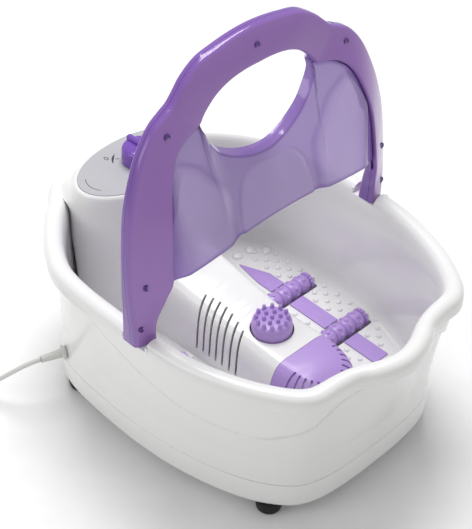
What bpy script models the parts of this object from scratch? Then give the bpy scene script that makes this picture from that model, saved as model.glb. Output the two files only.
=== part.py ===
"""Foot spa basin with a lift-off splash guard, massage rollers and a rotary control.

Metres, +Z up. The floor is Z = 0, X = 0 is the symmetry plane and Y = 0 is the middle of
the rim. +Y is the toe end with the control pod, -Y the heel end.
"""
import math

import bmesh
import bpy
from mathutils import Matrix, Vector

# ---------------------------------------------------------------- driving dimensions
TUB_WIDTH = 0.330          # across the rim, outside
TUB_LENGTH = 0.455         # along the rim, outside
RIM_Z = 0.185              # top of the rim above the floor
FOOT_H = 0.014             # underside of the base above the floor
SEAM_Z = 0.046             # joint between the housing and the base pan
BED_Z = 0.045              # footbed surface
WALL = 0.0025              # moulded wall
GAP = 0.0004               # air between pieces that touch
LIP_W = 0.020              # rim, outer edge to inner edge
LIP_DROP = 0.017           # rim skirt height
WALL_INSET = 0.007         # housing wall behind the rim's outer edge
BED_INSET = 0.0145         # footbed edge behind the housing wall

POD_Y = 0.145              # centre of the control pod
POD_Z = 0.205              # label plate seat
PLATE_A = 0.076            # label plate half axis across
PLATE_B = 0.043            # label plate half axis along
PLATE_T = 0.0015
POD_RIM = 0.0045           # white ring around the plate
KNOB_R = 0.020
KNOB_H = 0.022
SHAFT_R = 0.003
SWITCH_R = 0.015
SWITCH_H = 0.022

ISLAND_TOP_Z = 0.099       # island top at the massage node
ISLAND_HALF_W = 0.046      # island half width at the footbed
COVER_Y = -0.089           # straight edge of the slotted cover
ISLAND_END_Y = -0.150
COVER_T = 0.0026
NODE_Y = -0.049
NODE_R = 0.021
NODE_H = 0.014
NODE_SINK = 0.006
NUB_R = 0.0026

BED_X = 0.090              # centre line of each footbed
ROLLER_R = 0.0115
ROLLER_LEN = 0.066
ROLLER_Y = (0.017, -0.063)
ROLLER_Z = 0.0465
AXLE_R = 0.002
WELL_MARGIN = 0.0018       # air around a roller in its well
STRIPE_W = 0.020
STRIPE_T = 0.0016
STRIPE_Y = (-0.120, 0.088)

GUARD_WALL = 0.0024
PARTING = 0.0065           # parting plane behind the band's front face
BAND_DEPTH = (0.020, 0.018, 0.015, 0.013)   # front to back of the band, row by row
GUARD_SEAT_Z = 0.0085      # leg end below the rim top
NOTCH_Y = (-0.0490, -0.0190)
PANEL_T = 0.0022
PANEL_GRIP = 0.0045        # panel edge held inside the band
PANEL_SLACK = 0.0009       # air on each face of the held edge
PANEL_CLEAR = 0.0018       # where the panel may bend, beside the band's inner edge
PANEL_LIP = 0.010          # depth of the lip under the grip window
PANEL_LIP_RISE = 0.003
WINDOW_Y = -0.034          # front of the lip at the window's corners
WINDOW_BOW = 0.010         # how far the lip's middle stands forward of that

FOOT_R = 0.0135
FOOT_X_TOE, FOOT_Y_TOE = 0.131, 0.102
FOOT_X_HEEL, FOOT_Y_HEEL = 0.1025, -0.1505
FOOT_STEM_R = 0.0034
VENT_Y = (-0.064, -0.056, -0.048, -0.040)
BOSS_R = 0.0045
SCREW_R = 0.0015
HEAD_SEAT = 0.0012         # depth of a handle screw's seat in the rear band
BOSSES = ((0.072, -0.138), (0.1285, -0.022), (0.100, 0.112))

MOTOR_R = 0.0145
MOTOR_LEN = 0.038
MOTOR_Y = 0.030
MOTOR_Z = 0.0600
WEIGHT_R = 0.0115
WEIGHT_LEN = 0.009
PUMP_PORT_Z = 0.034
HOSE_R = 0.003
JET_Y = -0.023

CORD_D = 0.005
CORD_EXIT_Z = 0.056
GLAND_NECK_R = 0.0055
GLAND_LEN = 0.026
COIL_MID_R = 0.0285
COIL_HALF_W = 0.0078
COIL_H = 0.0165
COIL_CENTRE = (-0.2500, 0.2340)
PLUG_BODY = (0.019, 0.036, 0.016)
PLUG_CENTRE = (-0.2860, 0.1985)
PLUG_TURN = 128.0
CORD_ROUTE_MM = (          # free stretch, chosen by hand: X, Y, Z in millimetres
    (-188, 134, 43.0), (-203, 147, 27.0), (-211, 160, 10.0), (-219, 172, 3.2),
    (-231, 184, 2.8), (-246, 192, 2.8), (-257, 194.4, 2.8), (-266, 197.8, 2.8),
)

# Rim outline, half of it, toe to heel: shares of half width and half length.
RIM_SHAPE = (
    (0.000, 1.000), (0.273, 0.958), (0.388, 0.923), (0.497, 0.870), (0.582, 0.791),
    (0.667, 0.738), (0.824, 0.598), (0.897, 0.514), (0.970, 0.396), (1.000, 0.220),
    (1.000, 0.000), (0.988, -0.220), (0.958, -0.396), (0.885, -0.580), (0.794, -0.725),
    (0.679, -0.848), (0.564, -0.901), (0.448, -0.905), (0.303, -0.919), (0.224, -0.958),
    (0.103, -0.989), (0.000, -1.000),
)
RIM_KINKS = (4, 18)
# Outline at the seam and of the base below it, point for point with the rim.
BASE_SHAPE = (
    (0.000, 0.866), (0.242, 0.844), (0.364, 0.813), (0.479, 0.765), (0.576, 0.712),
    (0.665, 0.665), (0.835, 0.535), (0.890, 0.455), (0.918, 0.345), (0.930, 0.189),
    (0.930, 0.000), (0.910, -0.189), (0.870, -0.350), (0.805, -0.515), (0.720, -0.655),
    (0.610, -0.762), (0.520, -0.808), (0.420, -0.832), (0.303, -0.845), (0.212, -0.850),
    (0.103, -0.853), (0.000, -0.853),
)
OUTLINE_STEP = 0.026       # about the length of one facet along the outline

# Splash guard band, half of it, from a leg's foot to the crown. Each row: outer edge
# (across as a share of the rim's half width, height above the rim, front face Y), then
# the inner edge in the same way.
BAND = (
    (1.008, -0.0085, -0.040, 0.876, -0.0085, -0.0460),
    (1.010, 0.0120, -0.040, 0.873, 0.0150, -0.0475),
    (1.010, 0.0400, -0.038, 0.830, 0.0440, -0.0550),
    (1.004, 0.0680, -0.036, 0.797, 0.0600, -0.0580),
    (0.982, 0.1020, -0.034, 0.783, 0.0860, -0.0565),
    (0.945, 0.1320, -0.031, 0.764, 0.1150, -0.0535),
    (0.893, 0.1560, -0.029, 0.727, 0.1420, -0.0470),
    (0.820, 0.1805, -0.027, 0.668, 0.1650, -0.0390),
    (0.727, 0.1990, -0.025, 0.570, 0.1785, -0.0330),
    (0.636, 0.2075, -0.0235, 0.436, 0.1845, -0.0290),
    (0.584, 0.2115, -0.0225, 0.405, 0.1905, -0.0285),
    (0.533, 0.2190, -0.0215, 0.367, 0.1970, -0.0280),
    (0.470, 0.2285, -0.0200, 0.306, 0.2055, -0.0280),
    (0.364, 0.2390, -0.0190, 0.227, 0.2115, -0.0280),
    (0.242, 0.2435, -0.0185, 0.145, 0.2145, -0.0280),
    (0.121, 0.2463, -0.0180, 0.070, 0.2155, -0.0280),
    (0.000, 0.2475, -0.0180, 0.000, 0.2155, -0.0280),
)
PANEL_ROWS = (3, 9)        # rows between which the band holds the panel
PANEL_CORNER = 5           # row where the panel's side becomes its top
# Lower edge of the grip window, half of it: share across and height above the rim.
WINDOW_LOW = ((0.436, 0.1845), (0.418, 0.176), (0.376, 0.160), (0.303, 0.145),
              (0.152, 0.132), (0.000, 0.1295))
# Splash guard screws: band row, share of the way from the inner to the outer edge.
GUARD_SCREWS = ((16.0, 0.50), (8.0, 0.60), (2.8, 0.62), (1.0, 0.70))

# ---------------------------------------------------------------- scene and materials
for old in list(bpy.data.objects):
    bpy.data.objects.remove(old)

PARTS = bpy.data.collections.new("foot_spa_basin")
CUTTERS = bpy.data.collections.new("cutters")
bpy.context.scene.collection.children.link(PARTS)
bpy.context.scene.collection.children.link(CUTTERS)


def material(name, colour, roughness, metallic=0.0):
    made = bpy.data.materials.new(name)
    made.use_nodes = True
    shader = made.node_tree.nodes["Principled BSDF"]
    shader.inputs["Base Color"].default_value = (*colour, 1.0)
    shader.inputs["Roughness"].default_value = roughness
    shader.inputs["Metallic"].default_value = metallic
    return made


WHITE = material("white_abs", (0.88, 0.88, 0.86), 0.22)
BAND_TINT = material("violet_clear_band", (0.31, 0.16, 0.44), 0.15)
PANEL_TINT = material("violet_clear_panel", (0.46, 0.36, 0.60), 0.15)
LILAC = material("lilac_abs", (0.47, 0.30, 0.64), 0.35)
KNOB_TINT = material("violet_clear_knob", (0.35, 0.16, 0.62), 0.12)
LABEL = material("label_grey", (0.58, 0.58, 0.58), 0.5)
RUBBER = material("black_rubber", (0.01, 0.01, 0.01), 0.7)
STEEL = material("zinc_steel", (0.62, 0.62, 0.60), 0.35, 1.0)
PVC = material("grey_pvc", (0.68, 0.68, 0.66), 0.5)
DARK = material("black_nylon", (0.03, 0.03, 0.03), 0.5)
COPPER = material("heater_foil", (0.70, 0.45, 0.25), 0.4, 1.0)
BOARD = material("circuit_board", (0.05, 0.20, 0.08), 0.6)


# ---------------------------------------------------------------- modelling helpers
def finish(obj, slot, smooth=35.0):
    """Puts a finished object in the parts collection with its material."""
    for holder in list(obj.users_collection):
        holder.objects.unlink(obj)
    PARTS.objects.link(obj)
    obj.data.materials.clear()
    obj.data.materials.append(slot)
    obj.data.shade_smooth()
    obj.data.set_sharp_from_angle(angle=math.radians(smooth))
    return obj


def cutter(obj):
    for holder in list(obj.users_collection):
        holder.objects.unlink(obj)
    CUTTERS.objects.link(obj)
    obj.hide_render = True
    obj.display_type = "WIRE"
    return obj


def from_bmesh(name, shape):
    mesh = bpy.data.meshes.new(name)
    shape.to_mesh(mesh)
    shape.free()
    obj = bpy.data.objects.new(name, mesh)
    bpy.context.scene.collection.objects.link(obj)
    return obj


def loft(name, rings, closed=True):
    """A closed skin through rings of equal length, capped at both ends."""
    shape = bmesh.new()
    rows = [[shape.verts.new(point) for point in ring] for ring in rings]
    count = len(rings[0])
    sides = count if closed else count - 1
    for low, high in zip(rows, rows[1:]):
        for i in range(sides):
            j = (i + 1) % count
            shape.faces.new((low[i], low[j], high[j], high[i]))
    shape.faces.new(rows[0][::-1])
    shape.faces.new(rows[-1])
    bmesh.ops.recalc_face_normals(shape, faces=shape.faces)
    return from_bmesh(name, shape)


def block(name, low, high):
    """A box between two corners."""
    shape = bmesh.new()
    bmesh.ops.create_cube(shape, size=1.0)
    size = [high[k] - low[k] for k in range(3)]
    centre = [(high[k] + low[k]) / 2 for k in range(3)]
    bmesh.ops.scale(shape, vec=size, verts=shape.verts)
    bmesh.ops.translate(shape, vec=centre, verts=shape.verts)
    return from_bmesh(name, shape)


def rod(name, start, end, radius, radius_end=None, sides=24):
    """A cylinder or cone between two points."""
    start, end = Vector(start), Vector(end)
    axis = end - start
    shape = bmesh.new()
    bmesh.ops.create_cone(
        shape, cap_ends=True, segments=sides, radius1=radius,
        radius2=radius if radius_end is None else radius_end, depth=axis.length)
    turn = Vector((0, 0, 1)).rotation_difference(axis).to_matrix().to_4x4()
    place = Matrix.Translation((start + end) / 2) @ turn
    bmesh.ops.transform(shape, matrix=place, verts=shape.verts)
    return from_bmesh(name, shape)


def turned(name, profile, centre, axis="Z", steps=32):
    """A body turned from (radius, height) points that run top to bottom."""
    mesh = bpy.data.meshes.new(name)
    points = [(radius, 0.0, height) for radius, height in profile]
    mesh.from_pydata(points, [(i, i + 1) for i in range(len(points) - 1)], [])
    obj = bpy.data.objects.new(name, mesh)
    bpy.context.scene.collection.objects.link(obj)
    screw = obj.modifiers.new("Turn", "SCREW")
    screw.axis = "Z"
    screw.steps = steps
    screw.render_steps = steps
    screw.use_merge_vertices = True
    screw.merge_threshold = 0.00002
    apply_modifiers(obj)
    turn = {"Z": Matrix.Identity(4), "X": Matrix.Rotation(math.radians(90), 4, "Y"),
            "Y": Matrix.Rotation(math.radians(-90), 4, "X")}[axis]
    obj.data.transform(Matrix.Translation(centre) @ turn)
    return obj


def apply_modifiers(obj):
    """Replaces an object's mesh by its evaluated mesh."""
    bpy.context.view_layer.update()
    evaluated = obj.evaluated_get(bpy.context.evaluated_depsgraph_get())
    mesh = bpy.data.meshes.new_from_object(evaluated)
    obj.modifiers.clear()
    obj.data = mesh
    return obj


def boolean(obj, other, operation, solver="EXACT"):
    """One Boolean with a closed tool object, applied; the tool is kept as a cutter."""
    cutter(other)
    step = obj.modifiers.new("Boolean", "BOOLEAN")
    step.operation = operation
    step.solver = solver
    step.object = other
    return apply_modifiers(obj)


def cut(obj, other):
    return boolean(obj, other, "DIFFERENCE")


def join(obj, other):
    return boolean(obj, other, "UNION")


def several(name, pieces):
    """One tool object made of separate closed bodies."""
    shape = bmesh.new()
    for piece in pieces:
        shape.from_mesh(piece.data)
        bpy.data.objects.remove(piece)
    return from_bmesh(name, shape)


def bevel(obj, width, segments=2, angle=40.0):
    step = obj.modifiers.new("Edges", "BEVEL")
    step.width = width
    step.segments = segments
    step.limit_method = "ANGLE"
    step.angle_limit = math.radians(angle)
    return apply_modifiers(obj)


def sides(sign):
    return "left" if sign < 0 else "right"


# ---------------------------------------------------------------- outlines
def catmull(a, b, c, d, t):
    return 0.5 * ((2 * b) + (c - a) * t + (2 * a - 5 * b + 4 * c - d) * t * t
                  + (3 * b - a - 3 * c + d) * t ** 3)


def facets_along(index):
    """How many facets a stretch of the rim outline gets."""
    a, b = RIM_SHAPE[index], RIM_SHAPE[index + 1]
    length = math.hypot((b[0] - a[0]) * TUB_WIDTH / 2, (b[1] - a[1]) * TUB_LENGTH / 2)
    return max(1, round(length / OUTLINE_STEP))


def smooth_half(shape, kinks=()):
    """Points of a half outline, smooth between its ends and kinks."""
    points = [Vector(p) for p in shape]
    last = len(points) - 1
    dense = []
    for i in range(last):
        before = points[i - 1] if i > 0 else Vector((-points[1].x, points[1].y))
        after = points[i + 2] if i + 2 <= last else Vector((-points[-2].x, points[-2].y))
        if i in kinks:
            before = 2 * points[i] - points[i + 1]
        if i + 1 in kinks:
            after = 2 * points[i + 1] - points[i]
        steps = facets_along(i)
        for k in range(steps):
            dense.append(catmull(before, points[i], points[i + 1], after, k / steps))
    dense.append(points[last])
    return dense


def full_outline(shape, kinks=()):
    """The closed outline in metres, clockwise from the toe."""
    half = smooth_half(shape, kinks)
    right = [Vector((p.x * TUB_WIDTH / 2, p.y * TUB_LENGTH / 2)) for p in half]
    left = [Vector((-p.x, p.y)) for p in right[-2:0:-1]]
    return right + left


def inset(points, distance):
    """The outline moved inwards along its normals."""
    count = len(points)
    moved = []
    for i, point in enumerate(points):
        along = points[(i + 1) % count] - points[i - 1]
        inward = Vector((along.y, -along.x)).normalized()
        moved.append(point + inward * distance)
    return moved


def at_height(points, z):
    return [(p.x, p.y, z) for p in points]


RIM = full_outline(RIM_SHAPE, RIM_KINKS)
BASE = full_outline(BASE_SHAPE)
LIP_LOW_Z = RIM_Z - LIP_DROP


def wall_line(z, behind=0.0):
    """The housing's outer wall at a height, moved inwards; it is upright below the seam."""
    share = min(1.0, (LIP_LOW_Z - z) / (LIP_LOW_Z - SEAM_Z))
    top = inset(RIM, WALL_INSET)
    line = [a.lerp(b, share) for a, b in zip(top, BASE)]
    return inset(line, behind)


# ---------------------------------------------------------------- island and pod forms
ISLAND_STATIONS = (        # Y, top height above ISLAND_TOP_Z, share of the width
    (0.118, 0.020, 1.12), (0.080, 0.015, 1.08), (0.040, 0.011, 1.02), (0.000, 0.005, 0.98),
    (-0.030, 0.001, 0.96), (-0.060, 0.000, 0.97), (-0.0885, 0.000, 1.00),
)
ISLAND_END = (             # share of the way to the end, drop of the top, share of width
    (0.00, 0.000, 1.00), (0.25, 0.000, 0.98), (0.50, 0.0015, 0.92), (0.72, 0.006, 0.80),
    (0.88, 0.015, 0.62), (0.97, 0.026, 0.42), (1.00, 0.036, 0.28),
)


def island_ring(y, top, half_w, shrink, bottom):
    """One cross-section: a flat top with round shoulders and drafted sides."""
    w = half_w - shrink
    z = top - shrink
    side = [(w, bottom), (0.955 * w, BED_Z + 0.30 * (z - BED_Z)),
            (0.88 * w, BED_Z + 0.66 * (z - BED_Z)), (0.77 * w, BED_Z + 0.87 * (z - BED_Z)),
            (0.63 * w, BED_Z + 0.97 * (z - BED_Z)), (0.50 * w, z)]
    return ([(x, y, height) for x, height in side]
            + [(-x, y, height) for x, height in side[::-1]])


def island(name, shrink, bottom, with_body=True, with_end=True):
    rings = []
    if with_body:
        for y, rise, share in ISLAND_STATIONS:
            rings.append(island_ring(y, ISLAND_TOP_Z + rise, ISLAND_HALF_W * share,
                                     shrink, bottom))
    if with_end:
        length = COVER_Y - (ISLAND_END_Y + shrink)
        for share, drop, width in ISLAND_END:
            rings.append(island_ring(COVER_Y - share * length, ISLAND_TOP_Z - drop,
                                     ISLAND_HALF_W * width, shrink, bottom))
    return loft(name, rings)


def ray_radius(line, centre, direction):
    """Distance from a centre to a closed outline along a direction."""
    best = 0.0
    for a, b in zip(line, line[1:] + line[:1]):
        edge = b - a
        cross = direction.x * edge.y - direction.y * edge.x
        if abs(cross) < 1e-12:
            continue
        reach = ((a.x - centre.x) * edge.y - (a.y - centre.y) * edge.x) / cross
        along = ((a.x - centre.x) * direction.y - (a.y - centre.y) * direction.x) / cross
        if reach > 0 and -1e-9 <= along <= 1 + 1e-9:
            best = max(best, reach)
    return best


POD_SIDES = 30
POD_CENTRE = Vector((0.0, POD_Y))


def pod_ring(z, half_a, half_b, back_line=None, shrink=0.0):
    """An oval, whose back half may run out to a line behind it."""
    ring = []
    for i in range(POD_SIDES):
        angle = 2 * math.pi * i / POD_SIDES
        way = Vector((math.cos(angle), math.sin(angle)))
        oval = 1 / math.hypot(way.x / (half_a - shrink), way.y / (half_b - shrink))
        radius = oval
        if back_line is not None and way.y > 0:
            blend = min(1.0, way.y / 0.5)
            radius = oval + (ray_radius(back_line, POD_CENTRE, way) - oval) * blend
        ring.append((POD_CENTRE.x + way.x * radius, POD_CENTRE.y + way.y * radius, z))
    return ring


# ---------------------------------------------------------------- inner basin
def basin():
    """One moulding: rim, tub wall, footbeds, island and control pod."""
    skirt = WALL
    over = [
        at_height(RIM, LIP_LOW_Z), at_height(RIM, RIM_Z - 0.0075),
        at_height(inset(RIM, 0.0022), RIM_Z - 0.0022), at_height(inset(RIM, 0.0068), RIM_Z),
        at_height(inset(RIM, 0.0145), RIM_Z - 0.0012),
        at_height(inset(RIM, LIP_W), RIM_Z - 0.0130),
        at_height(wall_line(BED_Z + 0.016, BED_INSET - 0.001), BED_Z + 0.016),
        at_height(wall_line(BED_Z + 0.005, BED_INSET + 0.002), BED_Z + 0.005),
        at_height(wall_line(BED_Z, BED_INSET + 0.009), BED_Z),
    ]
    under = [
        at_height(inset(RIM, skirt), LIP_LOW_Z), at_height(inset(RIM, skirt), RIM_Z - 0.0085),
        at_height(inset(RIM, 0.0060), RIM_Z - WALL),
        at_height(inset(RIM, 0.0140), RIM_Z - WALL - 0.0012),
        at_height(inset(RIM, LIP_W - WALL), RIM_Z - 0.0135),
        at_height(wall_line(BED_Z + 0.010, BED_INSET - 0.0012 - WALL), BED_Z + 0.0095),
        at_height(wall_line(BED_Z, BED_INSET + 0.008), BED_Z - WALL),
    ]
    body = loft("inner_basin", over[::-1] + under)

    top_b = PLATE_B + POD_RIM
    top_a = PLATE_A + POD_RIM
    back_top = inset(RIM, 0.010)
    back_low = wall_line(BED_Z, BED_INSET - 0.0015)
    back_mid = inset(RIM, LIP_W - 0.001)
    low_z = BED_Z - WALL * 0.6
    pod = loft("pod_form", [
        pod_ring(low_z, top_a + 0.010, top_b + 0.020, back_low),
        pod_ring(BED_Z + 0.030, top_a + 0.006, top_b + 0.012, back_low),
        pod_ring(RIM_Z - 0.013, top_a + 0.003, top_b + 0.003, back_mid),
        pod_ring(RIM_Z - 0.002, top_a + 0.002, top_b + 0.002, back_top),
        pod_ring(POD_Z - 0.006, top_a + 0.001, top_b + 0.001),
        pod_ring(POD_Z - 0.001, top_a, top_b),
        pod_ring(POD_Z, top_a - 0.0012, top_b - 0.0012),
        pod_ring(POD_Z, PLATE_A + GAP, PLATE_B + GAP),
        pod_ring(POD_Z - PLATE_T - 0.0003, PLATE_A + GAP, PLATE_B + GAP),
    ])
    body = join(body, pod)
    body = join(body, island("island_form", 0.0, low_z, with_end=False))
    body = join(body, island("island_core", COVER_T + GAP, low_z))

    hollow = loft("pod_hollow", [
        pod_ring(low_z - 0.01, top_a + 0.010, top_b + 0.020, back_low, 0.003),
        pod_ring(BED_Z + 0.030, top_a + 0.003, top_b + 0.009,
                 wall_line(BED_Z, BED_INSET + 0.003)),
        pod_ring(RIM_Z - 0.013, top_a, top_b, inset(RIM, LIP_W + 0.003)),
        pod_ring(POD_Z - 0.012, top_a - 0.003, top_b - 0.003),
        pod_ring(POD_Z - PLATE_T - 0.0032, top_a - 0.008, top_b - 0.008),
    ])
    body = cut(body, hollow)
    body = cut(body, island("island_hollow", COVER_T + GAP + WALL, low_z - 0.01))
    body = boolean(body, rod("shaft_hole", (0, POD_Y, POD_Z - 0.02),
                             (0, POD_Y, POD_Z + 0.02), SHAFT_R + 0.0012),
                   "DIFFERENCE", "MANIFOLD")

    wells, pans = [], []
    half = ROLLER_LEN / 2 + WELL_MARGIN
    deep = ROLLER_Z - ROLLER_R - WELL_MARGIN
    wide = ROLLER_R + WELL_MARGIN
    for sign in (-1, 1):
        for y in ROLLER_Y:
            x = sign * BED_X
            pans.append(block("pan", (x - half - WALL, y - wide - WALL, deep - WALL),
                              (x + half + WALL, y + wide + WALL, BED_Z - 0.001)))
            wells.append(block("well", (x - half, y - wide, deep),
                               (x + half, y + wide, BED_Z + 0.05)))
    body = join(body, several("roller_pans", pans))
    body = cut(body, several("roller_wells", wells))

    ears, seats = [], []
    for sign in (-1, 1):
        for y in ROLLER_Y:
            for end in (-1, 1):
                face = sign * BED_X + end * half
                near, far = sorted((face + end * 0.0004, face + end * 0.0042))
                ears.append(block("ear", (near, y - 0.0045, BED_Z - 0.001),
                                  (far, y + 0.0045, ROLLER_Z + AXLE_R + 0.0022)))
                near, far = sorted((face - end * 0.001, face + end * 0.0026))
                reach = AXLE_R + GAP
                seats.append(block("seat", (near, y - reach, ROLLER_Z - reach),
                                   (far, y + reach, ROLLER_Z + reach)))
    body = join(body, several("axle_ears", ears))
    body = cut(body, several("axle_seats", seats))

    body = cut(body, rod("node_socket", (0, NODE_Y, ISLAND_TOP_Z - NODE_SINK),
                         (0, NODE_Y, ISLAND_TOP_Z + 0.02), NODE_R + 0.0012, sides=28))
    notches, ledges = [], []
    for sign in (-1, 1):
        near, far = sorted((sign * (TUB_WIDTH / 2 - LIP_W - 0.005), sign * TUB_WIDTH))
        notches.append(block("notch", (near, NOTCH_Y[0], RIM_Z - GUARD_SEAT_Z - GAP),
                             (far, NOTCH_Y[1], RIM_Z + 0.02)))
        near, far = sorted((sign * (TUB_WIDTH / 2 - LIP_W + 0.001),
                            sign * (TUB_WIDTH / 2 - 0.0018)))
        ledges.append(block("ledge", (near, NOTCH_Y[0] - WALL, RIM_Z - GUARD_SEAT_Z - WALL),
                            (far, NOTCH_Y[1] + WALL, RIM_Z - 0.0035)))
    body = join(body, several("guard_ledges", ledges))
    body = cut(body, several("guard_notches", notches))

    posts, pilots = [], []
    for x, y in BOSSES:
        for sign in (-1, 1):
            low = FOOT_H + WALL + GAP
            posts.append(rod("post", (sign * x, y, low), (sign * x, y, BED_Z - 0.001),
                             BOSS_R, sides=10))
            pilots.append(rod("pilot", (sign * x, y, low - 0.01),
                              (sign * x, y, BED_Z - WALL - 0.0015), SCREW_R + 2 * GAP, sides=8))
    body = join(body, several("screw_posts", posts))
    body = cut(body, several("screw_pilots", pilots))
    return finish(body, WHITE)


basin()


# ---------------------------------------------------------------- housing and base
def band_body(name, outer, inner):
    """A closed ring wall between an outer and an inner stack of rings."""
    shape = bmesh.new()
    stack = outer + inner[::-1]
    rows = [[shape.verts.new(point) for point in ring] for ring in stack]
    count = len(stack[0])
    for low, high in zip(rows, rows[1:] + rows[:1]):
        for i in range(count):
            j = (i + 1) % count
            shape.faces.new((low[i], low[j], high[j], high[i]))
    bmesh.ops.recalc_face_normals(shape, faces=shape.faces)
    return from_bmesh(name, shape)


def outer_shell():
    """The housing wall, from inside the rim skirt down to the seam."""
    heights = [RIM_Z - 0.0125, (RIM_Z + SEAM_Z) / 2, SEAM_Z + GAP]
    body = band_body("outer_shell", [at_height(wall_line(z), z) for z in heights],
                     [at_height(wall_line(z, WALL), z) for z in heights])
    start, way = cord_exit()
    body = cut(body, rod("cord_hole", start - way * 0.01, start + way * 0.01,
                         GLAND_NECK_R + GAP))
    return finish(body, WHITE)


def base_cover():
    """The shallow pan that closes the underside."""
    inner = [at_height(wall_line(FOOT_H, 0.0075), FOOT_H + WALL),
             at_height(wall_line(FOOT_H + 0.006, WALL + 0.0005), FOOT_H + 0.006),
             at_height(wall_line(SEAM_Z - GAP, WALL), SEAM_Z - GAP)]
    outer = [at_height(wall_line(SEAM_Z - GAP), SEAM_Z - GAP),
             at_height(wall_line(FOOT_H + 0.004), FOOT_H + 0.004),
             at_height(wall_line(FOOT_H, 0.0025), FOOT_H)]
    body = loft("base_cover", inner + outer)
    holes = [rod("hole", (sign * x, y, FOOT_H - 0.01), (sign * x, y, FOOT_H + 0.01),
                 SCREW_R + 2 * GAP, sides=8)
             for x, y in BOSSES for sign in (-1, 1)]
    holes += [rod("hole", (x, y, FOOT_H - 0.01), (x, y, FOOT_H + 0.01),
                  FOOT_STEM_R + 2 * GAP, sides=12)
              for x, y in foot_places().values()]
    holes += [block("vent", (-0.030, y, FOOT_H - 0.01), (0.030, y + 0.003, FOOT_H + 0.01))
              for y in VENT_Y]
    return finish(cut(body, several("base_holes", holes)), WHITE)


# ---------------------------------------------------------------- feet and base screws
def foot_places():
    return {
        "foot_toe_left": (-FOOT_X_TOE, FOOT_Y_TOE), "foot_toe_right": (FOOT_X_TOE, FOOT_Y_TOE),
        "foot_heel_left": (-FOOT_X_HEEL, FOOT_Y_HEEL),
        "foot_heel_right": (FOOT_X_HEEL, FOOT_Y_HEEL),
    }


def foot(name, x, y):
    """A rubber pad with a push-in stem that spreads above the base pan."""
    top = FOOT_H + WALL
    profile = [
        (0.0, top + 0.004), (FOOT_STEM_R - 0.001, top + 0.004),
        (FOOT_STEM_R + 0.0012, top + GAP + 0.0010), (FOOT_STEM_R + 0.0012, top + GAP),
        (FOOT_STEM_R, top + GAP), (FOOT_STEM_R, FOOT_H - GAP), (FOOT_R - 0.001, FOOT_H - GAP),
        (FOOT_R, FOOT_H - 0.0015), (FOOT_R - 0.0012, 0.0012), (FOOT_R - 0.0024, 0.0),
        (0.0, 0.0),
    ]
    return finish(turned(name, profile, (x, y, 0.0), steps=12), RUBBER)


def pan_screw(name, x, y):
    """A pan-head screw, driven up through the base pan into the basin's post."""
    head = FOOT_H - GAP
    profile = [
        (0.0, head + 0.020), (SCREW_R * 0.5, head + 0.020), (SCREW_R, head + 0.018),
        (SCREW_R, head), (0.0034, head), (0.0034, head - 0.0014), (0.0024, head - 0.0024),
        (0.0, head - 0.0024),
    ]
    return finish(turned(name, profile, (x, y, 0.0), steps=8), STEEL)


# ---------------------------------------------------------------- cord and strain relief
def cord_exit():
    """Where the cord leaves the housing, and the level outward direction there."""
    line = wall_line(CORD_EXIT_Z)
    index = max(range(len(line)), key=lambda i: (line[i].x < 0 and line[i].y > 0)
                * (1 - abs(line[i].y - 0.106)))
    along = line[index - 1] - line[(index + 1) % len(line)]
    way = Vector((-along.y, along.x, 0.0)).normalized()
    start = Vector((line[index].x, line[index].y, CORD_EXIT_Z))
    if way.dot(start) < 0:
        way = -way
    return start, way


def place_along(obj, start, way):
    """Turns a +Z body so that its top lies along a direction from a point."""
    turn = Vector((0, 0, 1)).rotation_difference(way).to_matrix().to_4x4()
    obj.data.transform(Matrix.Translation(start) @ turn)
    return obj


def strain_relief():
    """A tapered sleeve with a collar outside the wall and a lock ring inside."""
    start, way = cord_exit()
    bore = CORD_D / 2 + GAP
    profile = [
        (bore, GLAND_LEN), (CORD_D / 2 + 0.0012, GLAND_LEN), (0.0048, 0.0035),
        (0.0078, 0.0030), (0.0078, 0.0006), (GLAND_NECK_R, 0.0006),
        (GLAND_NECK_R, -WALL - 0.0012), (GLAND_NECK_R + 0.0015, -WALL - 0.0012),
        (GLAND_NECK_R + 0.0015, -WALL - 0.0030), (GLAND_NECK_R, -WALL - 0.0050),
        (bore, -WALL - 0.0050),
    ]
    profile = profile + [profile[0]]
    body = turned("cord_strain_relief", profile, (0, 0, 0), steps=16)
    return finish(place_along(body, start, way), PVC)


def power_cord():
    """The free stretch of the cord, from the strain relief to the coil."""
    start, way = cord_exit()
    tip = start + way * (GLAND_LEN + GAP)
    route = [tip] + [Vector(p) * 0.001 for p in CORD_ROUTE_MM]
    route[1:1] = [tip + way * 0.008]
    before = [tip - way * 0.01] + route
    after = route[-1] * 2 - route[-2]
    points = []
    for i in range(len(route) - 1):
        following = route[i + 2] if i + 2 < len(route) else after
        length = (route[i + 1] - route[i]).length
        steps = max(1, round(length / (2.4 * CORD_D)))
        for k in range(steps):
            points.append(catmull(before[i], route[i], route[i + 1], following, k / steps))
    points.append(route[-1])
    curve = bpy.data.curves.new("power_cord", "CURVE")
    curve.dimensions = "3D"
    curve.bevel_depth = CORD_D / 2
    curve.bevel_resolution = 2
    curve.use_fill_caps = True
    spline = curve.splines.new("POLY")
    spline.points.add(len(points) - 1)
    for place, point in zip(spline.points, points):
        place.co = (*point, 1.0)
    obj = bpy.data.objects.new("power_cord", curve)
    PARTS.objects.link(obj)
    curve.materials.append(PVC)
    return obj


def cord_coil():
    """The outer form of the wound length of the cord."""
    inner, outer = COIL_MID_R - COIL_HALF_W, COIL_MID_R + COIL_HALF_W
    top = COIL_H + 0.0003
    profile = [
        (inner, 0.002), (inner, top - 0.002), (inner + 0.002, top), (outer - 0.002, top),
        (outer, top - 0.002), (outer, 0.002), (outer - 0.002, 0.0003), (inner + 0.002, 0.0003),
        (inner, 0.002),
    ]
    return finish(turned("cord_coil", profile, (*COIL_CENTRE, 0.0), steps=28), PVC)


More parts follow.
